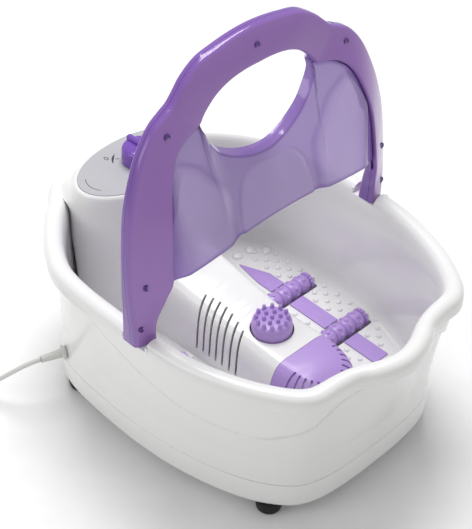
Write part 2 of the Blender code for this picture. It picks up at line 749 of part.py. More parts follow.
# ---------------------------------------------------------------- splash guard
def band_edges(row, sign=1):
    """Outer and inner front edge of the band at a row, which may lie between rows."""
    low = min(int(row), len(BAND) - 2)
    share = row - low
    xo, zo, yo, xi, zi, yi = [a + (b - a) * share for a, b in zip(BAND[low], BAND[low + 1])]
    half = TUB_WIDTH / 2
    return (Vector((sign * xo * half, yo, RIM_Z + zo)),
            Vector((sign * xi * half, yi, RIM_Z + zi)))


def band_depth(row):
    """Front to back of the band at a row, thicker towards a leg's foot."""
    low = min(int(row), len(BAND_DEPTH) - 1)
    high = min(low + 1, len(BAND_DEPTH) - 1)
    return BAND_DEPTH[low] + (BAND_DEPTH[high] - BAND_DEPTH[low]) * (row - low)


def band_section(row, sign, front):
    """A channel: the front half opens backwards, the rear half opens forwards."""
    outer, inner = band_edges(row, sign)
    thick = band_depth(min(row, len(BAND_DEPTH) - 1))
    length = (outer - inner).length
    first, last = PANEL_ROWS
    hold = PANEL_T / 2 + PANEL_SLACK if first - 1 <= row <= last else GAP / 2
    deep_in = PARTING - hold if front else thick - PARTING - hold
    deep_out = PARTING - GAP / 2 if front else thick - PARTING - GAP / 2
    w = GUARD_WALL
    soft = 0.0028
    profile = [
        (0.0, deep_in), (0.0, soft), (soft, 0.0), (length - soft, 0.0), (length, soft),
        (length, deep_out), (length - w, deep_out), (length - w, w + 0.0008),
        (w, w + 0.0008), (w, deep_in),
    ]
    along = (outer - inner) / length
    ring = []
    for distance, depth in profile:
        point = inner + along * distance
        point.y += depth if front else thick - depth
        ring.append(point)
    return ring


def band_rows():
    """Every row of the band from the left foot over the crown to the right foot."""
    last = len(BAND) - 1
    return ([(row, -1) for row in range(last)] + [(last, 1)]
            + [(row, 1) for row in range(last - 1, -1, -1)])


def screw_spots():
    """Names, front face points and band depths of the seven handle screws."""
    spots = []
    for number, (row, share) in enumerate(GUARD_SCREWS):
        for sign in (-1, 1):
            outer, inner = band_edges(row, sign)
            if number == 0 and sign < 0:
                continue
            place = inner.lerp(outer, share)
            name = "crown" if number == 0 else ("", "shoulder", "side", "leg")[number]
            side = "" if number == 0 else "_" + sides(sign)
            depth = band_depth(min(row, len(BAND_DEPTH) - 1))
            spots.append(("guard_screw_" + name + side, place, depth))
    return spots


def guard_half(name, front):
    body = loft(name, [band_section(row, sign, front) for row, sign in band_rows()])
    posts, holes, seats = [], [], []
    for _, place, depth in screw_spots():
        middle = place + Vector((0, PARTING, 0))
        near = place + Vector((0, GUARD_WALL * 0.5, 0))
        far = place + Vector((0, depth - GUARD_WALL * 0.5, 0))
        if front:
            posts.append(rod("post", near, middle - Vector((0, GAP, 0)), 0.0036, sides=8))
            holes.append(rod("hole", near + Vector((0, 0.0012, 0)),
                             middle + Vector((0, 0.002, 0)), SCREW_R + 2 * GAP, sides=8))
        else:
            posts.append(rod("post", middle + Vector((0, GAP, 0)), far, 0.0036, sides=8))
            holes.append(rod("hole", middle - Vector((0, 0.002, 0)),
                             far + Vector((0, 0.006, 0)), SCREW_R + 2 * GAP, sides=8))
            floor = place + Vector((0, depth - HEAD_SEAT, 0))
            seats.append(rod("seat", floor, floor + Vector((0, 0.008, 0)), 0.0038, sides=12))
    body = boolean(body, several("posts", posts), "UNION", "MANIFOLD")
    body = boolean(body, several("holes", holes), "DIFFERENCE", "MANIFOLD")
    if not front:
        body = boolean(body, several("seats", seats), "DIFFERENCE", "MANIFOLD")
    return finish(body, BAND_TINT)


def guard_screw(name, place, depth):
    """A pan-head screw, driven forwards through the rear half into the front half."""
    reach = depth - HEAD_SEAT + GAP - 0.0030
    profile = [
        (0.0, 0.0022), (0.0022, 0.0022), (0.0031, 0.0012), (0.0031, 0.0), (SCREW_R, 0.0),
        (SCREW_R, 0.0010 - reach), (0.0006, -reach), (0.0, -reach),
    ]
    back = place + Vector((0, depth - HEAD_SEAT + GAP, 0))
    body = turned(name, profile, (0, 0, 0), steps=8)
    return finish(place_along(body, back, Vector((0, 1, 0))), STEEL)


def spread(points, share):
    """Index and fraction of the place at a share of a polyline's length."""
    lengths = [(b - a).length for a, b in zip(points, points[1:])]
    target = share * sum(lengths)
    for index, length in enumerate(lengths):
        if target <= length:
            return index, target / length
        target -= length
    return len(lengths) - 1, 1.0


def between(points, place):
    index, fraction = place
    return points[index].lerp(points[index + 1], fraction)


def panel_borders():
    """Two lines round the panel: beside the band's inner edge, and held inside the band.

    Along the grip window the second line is the rear edge of the panel's lip.
    """
    first, last = PANEL_ROWS
    depth = Vector((0, PARTING, 0))
    near, far = {}, {}
    rows = ([first + (PANEL_CORNER - first) * k / 6 for k in range(7)],
            [PANEL_CORNER + (last - PANEL_CORNER) * k / 8 for k in range(9)])
    for sign in (-1, 1):
        for part, part_rows in zip(("side", "top"), rows):
            for row in part_rows:
                outer, inner = band_edges(row, sign)
                along = (outer - inner).normalized()
                beside = inner - along * PANEL_CLEAR + depth
                held = inner + along * PANEL_GRIP + depth
                if row == last:
                    held = beside + Vector((0, 0.001, 0))
                near.setdefault((part, sign), []).append(beside)
                far.setdefault((part, sign), []).append(held)
        for share, height in WINDOW_LOW[1:]:
            lean = WINDOW_Y - WINDOW_BOW * (1 - share / WINDOW_LOW[0][0])
            point = Vector((sign * share * TUB_WIDTH / 2, lean + PARTING, RIM_Z + height))
            near[("top", sign)].append(point)
            far[("top", sign)].append(point + Vector((0, PANEL_LIP, PANEL_LIP_RISE)))
    for line in (near, far):
        line["top"] = line[("top", -1)] + line[("top", 1)][-2::-1]
    return near, far


def guard_panel():
    """The clear splash panel, whose edge is trapped between the two handle halves."""
    near, far = panel_borders()
    west, east, top = near[("side", -1)], near[("side", 1)], near["top"]
    bottom = []
    for k in range(17):
        bow = math.sin(math.pi * k / 16)
        bottom.append(west[0].lerp(east[0], k / 16) + Vector((0, -0.002 * bow, 0.010 * bow * bow)))
    across, up = 24, 6
    shape = bmesh.new()
    sheet = []
    for j in range(up + 1):
        v = j / up
        row = []
        for i in range(across + 1):
            u = i / across
            corners = (bottom[0] * (1 - u) * (1 - v) + bottom[-1] * u * (1 - v)
                       + top[0] * (1 - u) * v + top[-1] * u * v)
            row.append(shape.verts.new(
                between(bottom, spread(bottom, u)) * (1 - v) + between(top, spread(top, u)) * v
                + between(west, spread(west, v)) * (1 - u) + between(east, spread(east, v)) * u
                - corners))
        sheet.append(row)
    strips = [[shape.verts.new(between(far[("side", sign)], spread(side, j / up)))
               for j in range(up)] for sign, side in ((-1, west), (1, east))]
    crest = [shape.verts.new(between(far["top"], spread(top, i / across)))
             for i in range(across + 1)]
    for j in range(up):
        low, high = sheet[j], sheet[j + 1]
        for i in range(across):
            shape.faces.new((low[i], low[i + 1], high[i + 1], high[i]))
        for strip, corner, line in ((strips[0], crest[0], 0), (strips[1], crest[-1], across)):
            above = strip[j + 1] if j + 1 < up else corner
            shape.faces.new((strip[j], low[line], high[line], above))
    for i in range(across):
        shape.faces.new((sheet[up][i], sheet[up][i + 1], crest[i + 1], crest[i]))
    bmesh.ops.recalc_face_normals(shape, faces=shape.faces)
    body = from_bmesh("guard_panel", shape)
    skin = body.modifiers.new("Sheet", "SOLIDIFY")
    skin.thickness = PANEL_T
    skin.offset = 0.0
    return finish(apply_modifiers(body), PANEL_TINT)


# ---------------------------------------------------------------- control pod
def control_panel_plate():
    body = loft("control_panel_plate", [
        pod_ring(POD_Z - PLATE_T, PLATE_A, PLATE_B), pod_ring(POD_Z, PLATE_A, PLATE_B)])
    body = cut(body, rod("plate_hole", (0, POD_Y, POD_Z - 0.01), (0, POD_Y, POD_Z + 0.01),
                         SHAFT_R + 0.0012))
    return finish(body, LABEL)


def control_knob():
    """A round knob with a pointer ridge and the switch shaft under it."""
    low = POD_Z + GAP
    top = low + KNOB_H
    profile = [
        (0.0, top - 0.004), (KNOB_R - 0.003, top - 0.004), (KNOB_R - 0.001, top - 0.005),
        (KNOB_R - 0.0004, top - 0.008), (KNOB_R, low), (SHAFT_R, low),
        (SHAFT_R, POD_Z - 0.022), (0.0, POD_Z - 0.022),
    ]
    body = turned("control_knob", profile, (0, POD_Y, 0), steps=32)
    ridge = block("ridge", (-0.0032, POD_Y - KNOB_R + 0.001, low + 0.006),
                  (0.0032, POD_Y + KNOB_R - 0.001, top))
    ridge = bevel(ridge, 0.0012)
    return finish(join(body, ridge), KNOB_TINT)


def rotary_switch():
    top = POD_Z - PLATE_T - 0.0032 - 0.0006
    body = rod("rotary_switch", (0, POD_Y, top - SWITCH_H), (0, POD_Y, top), SWITCH_R)
    body = cut(body, rod("switch_bore", (0, POD_Y, POD_Z - 0.024), (0, POD_Y, POD_Z),
                         SHAFT_R + 0.0006))
    return finish(body, DARK)


# ---------------------------------------------------------------- massage fittings
def massage_node():
    """A lift-out puck: one centre nub, six around it and twelve at the edge."""
    low = ISLAND_TOP_Z - NODE_SINK + GAP
    top = ISLAND_TOP_Z + NODE_H
    profile = [(0.0, top), (NODE_R - 0.0030, top), (NODE_R - 0.0008, top - 0.0012),
               (NODE_R, top - 0.0035), (NODE_R, low), (0.0, low)]
    body = turned("massage_node", profile, (0, NODE_Y, 0), steps=24)
    nubs = []
    for count, radius in ((1, 0.0), (6, 0.0092), (12, 0.0168)):
        for k in range(count):
            angle = 2 * math.pi * (k + 0.5) / count
            x = radius * math.cos(angle)
            y = NODE_Y + radius * math.sin(angle)
            nubs.append(rod("nub", (x, y, top - 0.001), (x, y, top + 0.0052), NUB_R * 1.05,
                            NUB_R * 0.72, sides=6))
    return finish(join(body, several("nubs", nubs)), LILAC)


def slotted_cover():
    """The clip-on cover over the island's heel end."""
    hem = BED_Z + 0.012
    body = island("slotted_cover", 0.0, BED_Z, with_body=False)
    body = cut(body, block("cover_hem", (-0.1, ISLAND_END_Y - 0.01, BED_Z - 0.01),
                           (0.1, COVER_Y + 0.01, hem)))
    body = cut(body, island("cover_void", COVER_T, BED_Z - 0.01))
    centre = Vector((0, COVER_Y - 0.020))
    slots = []
    for k in range(9):
        angle = math.radians(-90 + 19.0 * (k - 4))
        slot = block("slot", (0.0225, -0.0011, 0.066), (0.075, 0.0011, 0.110))
        slot.data.transform(Matrix.Translation((*centre, 0)) @ Matrix.Rotation(angle, 4, "Z"))
        slots.append(slot)
    return finish(cut(body, several("cover_slots", slots)), LILAC)


def roller(name, x, y):
    """A ribbed sleeve that turns on its axle."""
    half = ROLLER_LEN / 2
    bore = AXLE_R + GAP
    waist = ROLLER_R - 0.0012
    profile = [(bore, half), (waist - 0.0008, half), (ROLLER_R, half - 0.0008)]
    ribs = 3
    pitch = (ROLLER_LEN - 0.0016) / ribs
    for k in range(ribs):
        high = half - 0.0008 - pitch * k
        profile += [(ROLLER_R, high - 0.0012), (waist, high - 0.0020),
                    (waist, high - pitch + 0.0012)]
    profile += [(ROLLER_R, -half + 0.0014), (waist - 0.0008, -half), (bore, -half)]
    profile = profile + [profile[0]]
    body = turned(name, profile, (x, y, ROLLER_Z), axis="X", steps=14)
    return finish(body, LILAC)


def roller_axle(name, x, y):
    half = ROLLER_LEN / 2 + WELL_MARGIN + 0.0022
    return finish(rod(name, (x - half, y, ROLLER_Z), (x + half, y, ROLLER_Z), AXLE_R,
                      sides=16), STEEL)


def footbed_stripe(name, sign):
    """A lilac inlay under the rollers with a pointed toe end."""
    low_y, high_y = STRIPE_Y
    half = STRIPE_W / 2
    x = sign * BED_X
    outline = [(x - half, low_y), (x + half, low_y), (x + half, high_y - 0.035),
               (x - sign * 0.004, high_y), (x - half, high_y - 0.035)]
    body = loft(name, [[(a, b, z) for a, b in outline]
                       for z in (BED_Z + GAP, BED_Z + STRIPE_T)])
    wide = ROLLER_R + WELL_MARGIN + 0.0008
    gaps = [block("gap", (x - 0.02, y - wide, BED_Z - 0.01), (x + 0.02, y + wide, BED_Z + 0.01))
            for y in ROLLER_Y]
    body = cut(body, several("stripe_gaps", gaps))
    return body


def stripe_pieces(sign):
    """The inlay as its three separate lengths, each a node."""
    whole = footbed_stripe("stripe", sign)
    shape = bmesh.new()
    shape.from_mesh(whole.data)
    bpy.data.objects.remove(whole)
    shape.verts.ensure_lookup_table()
    seen, groups = set(), []
    for vert in shape.verts:
        if vert.index in seen:
            continue
        stack, group = [vert], []
        while stack:
            here = stack.pop()
            if here.index in seen:
                continue
            seen.add(here.index)
            group.append(here.index)
            stack.extend(edge.other_vert(here) for edge in here.link_edges)
        groups.append(group)
    groups.sort(key=lambda group: -max(shape.verts[i].co.y for i in group))
    for place, group in zip(("toe", "arch", "heel"), groups):
        piece = shape.copy()
        piece.verts.ensure_lookup_table()
        keep = set(group)
        drop = [vert for vert in piece.verts if vert.index not in keep]
        bmesh.ops.delete(piece, geom=drop, context="VERTS")
        finish(from_bmesh("inlay_" + place + "_" + sides(sign), piece), LILAC)
    shape.free()


# ---------------------------------------------------------------- inside the housing
def vibration_motor():
    """A small round motor with its shaft towards the heel."""
    back, front = MOTOR_Y + MOTOR_LEN / 2, MOTOR_Y - MOTOR_LEN / 2
    body = rod("vibration_motor", (0, back, MOTOR_Z), (0, front, MOTOR_Z), MOTOR_R)
    flats = [block("flat", (sign * (MOTOR_R - 0.002) - 0.01 + (sign > 0) * 0.01,
                            front - 0.01, MOTOR_Z - 0.03),
                   (sign * (MOTOR_R - 0.002) + (sign > 0) * 0.01, back + 0.01,
                    MOTOR_Z + 0.03)) for sign in (-1, 1)]
    body = cut(body, several("motor_flats", flats))
    shaft = rod("shaft", (0, front + 0.002, MOTOR_Z),
                (0, front - WEIGHT_LEN - 0.006, MOTOR_Z), 0.00155, sides=16)
    return finish(join(body, shaft), STEEL)


def eccentric_weight():
    """The half-disc on the motor shaft that makes the basin shake."""
    near = MOTOR_Y - MOTOR_LEN / 2 - 0.003
    body = rod("eccentric_weight", (0, near, MOTOR_Z), (0, near - WEIGHT_LEN, MOTOR_Z),
               WEIGHT_R)
    body = cut(body, block("half", (-0.02, near - WEIGHT_LEN - 0.01, MOTOR_Z + 0.004),
                           (0.02, near + 0.01, MOTOR_Z + 0.03)))
    body = cut(body, rod("weight_bore", (0, near + 0.01, MOTOR_Z),
                         (0, near - WEIGHT_LEN - 0.01, MOTOR_Z), 0.00155 + 0.0002, sides=16))
    return finish(body, STEEL)


def motor_clamp():
    """A nylon saddle that holds the motor up from the base pan."""
    low = FOOT_H + WALL + GAP
    body = block("motor_clamp", (-0.021, MOTOR_Y - 0.012, low),
                 (0.021, MOTOR_Y + 0.012, MOTOR_Z - 0.003))
    body = cut(body, rod("clamp_bore", (0, MOTOR_Y - 0.03, MOTOR_Z),
                         (0, MOTOR_Y + 0.03, MOTOR_Z), MOTOR_R + GAP, sides=32))
    body = cut(body, block("clamp_arch", (-0.012, MOTOR_Y - 0.03, low - 0.01),
                           (0.012, MOTOR_Y + 0.03, MOTOR_Z - MOTOR_R - 0.008)))
    return finish(body, DARK)


def air_pump():
    """The diaphragm pump that feeds the bubble jets, on the base pan under the pod."""
    low = FOOT_H + WALL + GAP
    y = POD_Y - 0.005
    body = block("air_pump", (-0.036, y - 0.020, low), (0.036, y + 0.020, low + 0.038))
    body = bevel(body, 0.004)
    dome = rod("dome", (0.012, y, low + 0.036), (0.012, y, low + 0.050), 0.014)
    body = join(body, dome)
    nozzle = rod("nozzle", (0, y - 0.018, PUMP_PORT_Z), (0, y - 0.028, PUMP_PORT_Z), 0.0022,
                 sides=16)
    return finish(join(body, nozzle), DARK)


def air_hose():
    """A soft hose from the pump's nozzle to the jet bar."""
    start_y = POD_Y - 0.005 - 0.0285
    points = [(0, start_y, PUMP_PORT_Z), (0.001, start_y - 0.012, PUMP_PORT_Z),
              (0.012, start_y - 0.026, 0.030), (0.026, start_y - 0.040, 0.026),
              (0.031, start_y - 0.060, 0.0245), (0.031, JET_Y + 0.0075, 0.0245)]
    route = [Vector(p) for p in points]
    curve = bpy.data.curves.new("air_hose", "CURVE")
    curve.dimensions = "3D"
    curve.bevel_depth = HOSE_R
    curve.bevel_resolution = 2
    curve.use_fill_caps = True
    smooth = []
    for i in range(len(route) - 1):
        before = route[i - 1] if i else route[0] * 2 - route[1]
        after = route[i + 2] if i + 2 < len(route) else route[-1] * 2 - route[-2]
        smooth += [catmull(before, route[i], route[i + 1], after, k / 4) for k in range(4)]
    smooth.append(route[-1])
    spline = curve.splines.new("POLY")
    spline.points.add(len(smooth) - 1)
    for place, point in zip(spline.points, smooth):
        place.co = (*point, 1.0)
    obj = bpy.data.objects.new("air_hose", curve)
    PARTS.objects.link(obj)
    curve.materials.append(PVC)
    return obj


def jet_bar():
    """The cross bar that shares the air between the two footbeds."""
    body = block("jet_bar", (-0.118, JET_Y - 0.007, 0.0190), (0.118, JET_Y + 0.007, 0.0300))
    return finish(bevel(body, 0.002), DARK)


def heater_plate(sign):
    """A foil heater under a footbed, between the two roller wells."""
    top = BED_Z - WALL - GAP
    low_y = ROLLER_Y[1] + ROLLER_R + WELL_MARGIN + WALL + 0.002
    high_y = ROLLER_Y[0] - ROLLER_R - WELL_MARGIN - WALL - 0.002
    x = sign * BED_X
    body = block("heater_plate_" + sides(sign), (x - 0.030, low_y, top - 0.0012),
                 (x + 0.030, high_y, top))
    return finish(body, COPPER)


def thermostat():
    top = BED_Z - WALL - GAP - 0.0012 - GAP
    return finish(rod("thermostat", (BED_X - 0.01, JET_Y + 0.0135, top - 0.007),
                      (BED_X - 0.01, JET_Y + 0.0135, top), 0.0075), DARK)


def control_board():
    low = FOOT_H + WALL + 0.004
    return finish(block("control_board", (-0.026, -0.016, low), (0.018, 0.004, low + 0.0016)),
                  BOARD)


def terminal_block():
    low = FOOT_H + WALL + GAP
    body = block("terminal_block", (-0.096, 0.120, low), (-0.066, 0.134, low + 0.012))
    bores = [rod("bore", (-0.0915 + 0.007 * k, 0.127, low + 0.004),
                 (-0.0915 + 0.007 * k, 0.127, low + 0.02), 0.0018, sides=12)
             for k in range(4)]
    return finish(cut(body, several("terminal_bores", bores)), PVC)


# ---------------------------------------------------------------- plug and tie
def plug():
    """A flat two-pin plug lying on its side, its cord end towards the coil."""
    wide, long, high = PLUG_BODY
    body = block("power_plug", (-long / 2, -wide / 2, 0.0003), (long / 2, wide / 2, high))
    body = bevel(body, 0.0045, segments=3)
    nose = rod("boot", (long / 2 - 0.002, 0, high / 2), (long / 2 + 0.012, 0, high / 2),
               0.0052, 0.0036, sides=20)
    body = join(body, nose)
    pins = [rod("pin", (-long / 2 - 0.019, y, high / 2), (-long / 2 + 0.003, y, high / 2),
                0.0020, sides=8) for y in (-0.0065, 0.0065)]
    body = join(body, several("pins", pins))
    place = Matrix.Translation((*PLUG_CENTRE, 0)) @ Matrix.Rotation(
        math.radians(PLUG_TURN), 4, "Z")
    body.data.transform(place)
    return finish(body, PVC)


# ---------------------------------------------------------------- assembly
outer_shell()
base_cover()
for foot_name, (foot_x, foot_y) in foot_places().items():
    foot(foot_name, foot_x, foot_y)
for (boss_x, boss_y), place_name in zip(BOSSES, ("heel", "middle", "toe")):
    for side_sign in (-1, 1):
        pan_screw("base_screw_" + place_name + "_" + sides(side_sign),
                  side_sign * boss_x, boss_y)
guard_half("guard_front_band", True)
guard_half("guard_rear_band", False)
guard_panel()
for screw_name, screw_place, screw_depth in screw_spots():
    guard_screw(screw_name, screw_place, screw_depth)
control_panel_plate()
control_knob()
rotary_switch()
massage_node()
slotted_cover()
for side_sign in (-1, 1):
    for roller_y, place_name in zip(ROLLER_Y, ("toe", "heel")):
        roller_name = place_name + "_" + sides(side_sign)
        roller("roller_" + roller_name, side_sign * BED_X, roller_y)
        roller_axle("roller_axle_" + roller_name, side_sign * BED_X, roller_y)
    stripe_pieces(side_sign)
    heater_plate(side_sign)
vibration_motor()
eccentric_weight()
motor_clamp()
air_pump()
air_hose()
jet_bar()
thermostat()
control_board()
terminal_block()
strain_relief()
power_cord()
cord_coil()
plug()
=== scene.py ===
"""Foot spa basin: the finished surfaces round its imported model.

Metres, +Z up, in the model's own frame. The file follows the basin as it is put together:
cord, basin moulding, housing, feet, control pod, footbed fittings, splash guard, inside.
"""
import math

import bmesh
import bpy
from mathutils import Matrix, Vector


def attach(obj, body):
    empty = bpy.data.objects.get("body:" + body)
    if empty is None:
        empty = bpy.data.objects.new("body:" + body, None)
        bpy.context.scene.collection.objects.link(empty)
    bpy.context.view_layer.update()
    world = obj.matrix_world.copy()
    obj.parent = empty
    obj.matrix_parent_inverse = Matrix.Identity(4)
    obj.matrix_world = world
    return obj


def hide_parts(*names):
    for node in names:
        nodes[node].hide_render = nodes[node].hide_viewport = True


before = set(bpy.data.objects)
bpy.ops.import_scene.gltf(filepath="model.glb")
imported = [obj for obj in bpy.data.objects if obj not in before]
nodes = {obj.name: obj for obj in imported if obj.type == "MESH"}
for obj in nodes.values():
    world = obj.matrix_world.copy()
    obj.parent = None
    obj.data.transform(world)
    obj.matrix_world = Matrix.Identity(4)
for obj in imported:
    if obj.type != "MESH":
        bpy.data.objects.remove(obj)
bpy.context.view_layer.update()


def add_object(name, data):
    """A new object, put into the scene."""
    made = bpy.data.objects.new(name, data)
    bpy.context.scene.collection.objects.link(made)
    return made


# ---------------------------------------------------------------- camera
# A long-lens view from the heel end's left, well above the rim.
camera_data = bpy.data.cameras.new("camera")
camera_data.sensor_width = 36.0
camera_data.lens = 92.41
camera = add_object("camera", camera_data)
camera.location = (-0.70579, -0.73797, 1.03725)
camera.rotation_euler = (math.radians(49.1), 0.0, math.radians(-43.6))
bpy.context.scene.camera = camera

# ---------------------------------------------------------------- power cord
# A round two-core PVC flex, 5 mm thick and 1.8 m long. It leaves the housing through a
# strain relief, drops to the floor, and the spare length is wound beside the basin.
CORD_D = 0.005
CORD_EXIT = Vector((-0.14644, 0.10435, 0.056))
CORD_WAY = Vector((-0.94843, 0.31699, 0.0))
RELIEF_LENGTH = 0.026
FLOOR_HEADING = Vector((-0.8, 0.6, 0.0))
COIL_CENTRE = Vector((-0.2500, 0.2340, 0.0))
COIL_MID_R = 0.0280
TURN_PITCH = 0.0052
TURN_SHIFT = math.radians(62)      # stretch in which a turn goes over to its next place
COIL_STEP = math.radians(12)
COIL_END = 2 * math.pi * 9 + math.radians(53)
FIRST_ROW_Z = 0.0028
LANDING = 0.040                    # straight run on the floor before the coil
FALL_HANDLES = (0.035, 0.045)      # how far the fall runs straight on at its two ends
CORD_GAP, BOOT_GAP = 0.0004, 0.0006     # at the strain relief and at the plug's boot
BEND_R = 0.0200                    # last bend, from the top of the coil to the plug
PLUG_BOOT = Vector((-0.3045, 0.2221, 0.0082))
PLUG_WAY = Vector((-0.6157, 0.7880, 0.0))


def srgb(code):
    """A hex colour as the linear values that shaders take."""
    channels = [int(code[i:i + 2], 16) / 255 for i in (1, 3, 5)]
    return (*[c / 12.92 if c <= 0.04045 else ((c + 0.055) / 1.055) ** 2.4 for c in channels],
            1.0)


def add_node(tree, kind, inputs=(), **settings):
    """A node with its settings, and its inputs given as values or as sockets to link."""
    made = tree.nodes.new(kind)
    for name, value in settings.items():
        setattr(made, name, value)
    for socket, value in dict(inputs).items():
        if isinstance(value, bpy.types.NodeSocket):
            tree.links.new(value, made.inputs[socket])
        else:
            made.inputs[socket].default_value = value
    return made


def moulded(name, colour, roughness, peel_mm=2.5, peel_depth=0.00003, shade=0.05,
            edge_shade_colour=None, **shader_values):
    """A moulded plastic: faint flow marks in its colour and gloss, and orange peel.

    Where a mesh has the attribute "edge", its colour goes over to a darker colour there,
    painted as shade.
    """
    made = bpy.data.materials.new(name)
    made.use_nodes = True
    tree = made.node_tree
    shader = tree.nodes["Principled BSDF"]
    place = add_node(tree, "ShaderNodeTexCoord").outputs["Object"]
    flow = add_node(tree, "ShaderNodeTexNoise", {"Vector": place, "Scale": 18.0, "Detail": 3.0})
    peel = add_node(tree, "ShaderNodeTexNoise",
                    {"Vector": place, "Scale": 1000.0 / peel_mm, "Detail": 1.0})
    base = srgb(colour)
    tint = add_node(tree, "ShaderNodeMix", {
        0: flow.outputs["Fac"], 6: tuple(c * (1 - shade) for c in base[:3]) + (1.0,),
        7: tuple(min(1.0, c * (1 + shade)) for c in base[:3]) + (1.0,)}, data_type="RGBA")
    # Painted shade: a darker colour laid in where the "edge" attribute is set.
    if edge_shade_colour:
        edge = add_node(tree, "ShaderNodeAttribute", attribute_name="edge")
        tint = add_node(tree, "ShaderNodeMix", {
            0: edge.outputs["Fac"], 6: tint.outputs[2], 7: srgb(edge_shade_colour)},
            data_type="RGBA")
    gloss = add_node(tree, "ShaderNodeMapRange", {
        "Value": flow.outputs["Fac"], "From Min": 0.3, "From Max": 0.7,
        "To Min": roughness * 0.85, "To Max": roughness * 1.2})
    bump = add_node(tree, "ShaderNodeBump", {
        "Height": peel.outputs["Fac"], "Distance": peel_depth, "Strength": 1.0})
    tree.links.new(tint.outputs[2], shader.inputs["Base Color"])
    tree.links.new(gloss.outputs["Result"], shader.inputs["Roughness"])
    tree.links.new(bump.outputs["Normal"], shader.inputs["Normal"])
    for socket, value in shader_values.items():
        shader.inputs[socket.replace("_", " ")].default_value = value
    return made


def mesh_object(name, shape, material=None, smooth=40.0):
    """A bmesh as an object at the origin, its normals turned outwards."""
    bmesh.ops.recalc_face_normals(shape, faces=shape.faces)
    mesh = bpy.data.meshes.new(name)
    shape.to_mesh(mesh)
    shape.free()
    mesh.shade_smooth()
    mesh.set_sharp_from_angle(angle=math.radians(smooth))
    made = add_object(name, mesh)
    if material:
        mesh.materials.append(material)
    return made


def fix(piece, body, *stands_for, slot=None):
    """Fixes a finished piece to its body and hides the solids that it stands for."""
    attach(piece, body)
    if stands_for:
        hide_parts(*stands_for)


def heading(angle):
    """A step of length one on the flat, at an angle from +X."""
    return Vector((math.cos(angle), math.sin(angle)))


def ease(value, low=0.0, high=1.0):
    """A smooth step from 0 at low to 1 at high."""
    share = min(1.0, max(0.0, (value - low) / (high - low)))
    return share * share * (3 - 2 * share)


def catmull(a, b, c, d, t):
    """A place between b and c on the smooth line through four points."""
    return 0.5 * ((2 * b) + (c - a) * t + (2 * a - 5 * b + 4 * c - d) * t * t
                  + (3 * b - a - 3 * c + d) * t ** 3)


def curve_through(points, steps, ends=None):
    """A smooth line through points, with the same number of steps in each stretch."""
    first, last = ends or (2 * points[0] - points[1], 2 * points[-1] - points[-2])
    padded = [first, *points, last]
    line = [catmull(a, b, c, d, k / steps)
            for a, b, c, d in zip(padded, padded[1:], padded[2:], padded[3:])
            for k in range(steps)]
    return line + [points[-1]]


def coil_line(end):
    """The wound turns, three beside each other and three high, then one across the top."""
    places = [(1, 0), (1, 1), (1, 2), (0, 2), (0, 1), (0, 0), (-1, 0), (-1, 1), (-1, 2),
              (-1.70, 3.1)]
    shifts = [0, 0, -1, -2, -2, -3, -4, -4, -5]
    starts = [2 * math.pi * (k + 1) + TURN_SHIFT * shift for k, shift in enumerate(shifts)]
    first = math.atan2(FLOOR_HEADING.x, -FLOOR_HEADING.y)
    line, angle, turn = [], 0.0, 0
    while angle < end:
        while turn < len(starts) and angle >= starts[turn] + TURN_SHIFT:
            turn += 1
        column, row = places[turn]
        if turn < len(starts) and angle > starts[turn]:
            share = (angle - starts[turn]) / TURN_SHIFT
            share = share ** 3 * (share * (share * 6 - 15) + 10)
            column += (places[turn + 1][0] - column) * share
            row += (places[turn + 1][1] - row) * share
        radius = COIL_MID_R + TURN_PITCH * column
        line.append(COIL_CENTRE + Vector((
            math.cos(first - angle) * radius, math.sin(first - angle) * radius,
            FIRST_ROW_Z + TURN_PITCH * row)))
        angle += COIL_STEP
    return line


def bezier(a, b, c, d, steps):
    """A cubic line between two points with a handle at each."""
    return [a * (1 - t) ** 3 + b * 3 * t * (1 - t) ** 2 + c * 3 * t * t * (1 - t) + d * t ** 3
            for t in [k / steps for k in range(steps + 1)]]


tip = CORD_EXIT + CORD_WAY * (RELIEF_LENGTH + CORD_GAP)
wound = coil_line(COIL_END)
landing = wound[0] - FLOOR_HEADING * LANDING
free = bezier(tip, tip + CORD_WAY * FALL_HANDLES[0],
              landing - FLOOR_HEADING * FALL_HANDLES[1], landing, 24)
free += [landing.lerp(wound[0], k / 3) for k in (1, 2)]
# Off the top of the coil and round to the plug's boot in one wide bend.
boot_end = PLUG_BOOT + PLUG_WAY * BOOT_GAP
bend_centre = boot_end + Vector((PLUG_WAY.y, -PLUG_WAY.x, 0.0)) * BEND_R
bend_end = math.atan2(PLUG_WAY.x, -PLUG_WAY.y) % (2 * math.pi)
run_out = []
for k in range(1, 19):
    share = k / 18
    height = wound[-1].z + (PLUG_BOOT.z - wound[-1].z) * ease(share, 0.25)
    run_out.append(Vector((bend_centre.x + BEND_R * math.cos(bend_end * share),
                           bend_centre.y + BEND_R * math.sin(bend_end * share), height)))
cord_points = free + wound + run_out
cord_curve = bpy.data.curves.new("power_cord_flex", "CURVE")
cord_curve.dimensions = "3D"
cord_curve.bevel_depth = CORD_D / 2
cord_curve.bevel_resolution = 4
cord_curve.use_fill_caps = True
cord_spline = cord_curve.splines.new("POLY")
cord_spline.points.add(len(cord_points) - 1)
for place, point in zip(cord_spline.points, cord_points):
    place.co = (*point, 1.0)
cord = add_object("power_cord_flex", cord_curve)
# Extruded soft PVC: matt, very slightly uneven along its length.
pvc_flex = moulded("extruded_grey_pvc", "#D6D6D2", 0.45, peel_mm=1.2)
cord_curve.materials.append(pvc_flex)
fix(cord, "basin", "power_cord", "cord_coil", slot="cord_pvc")

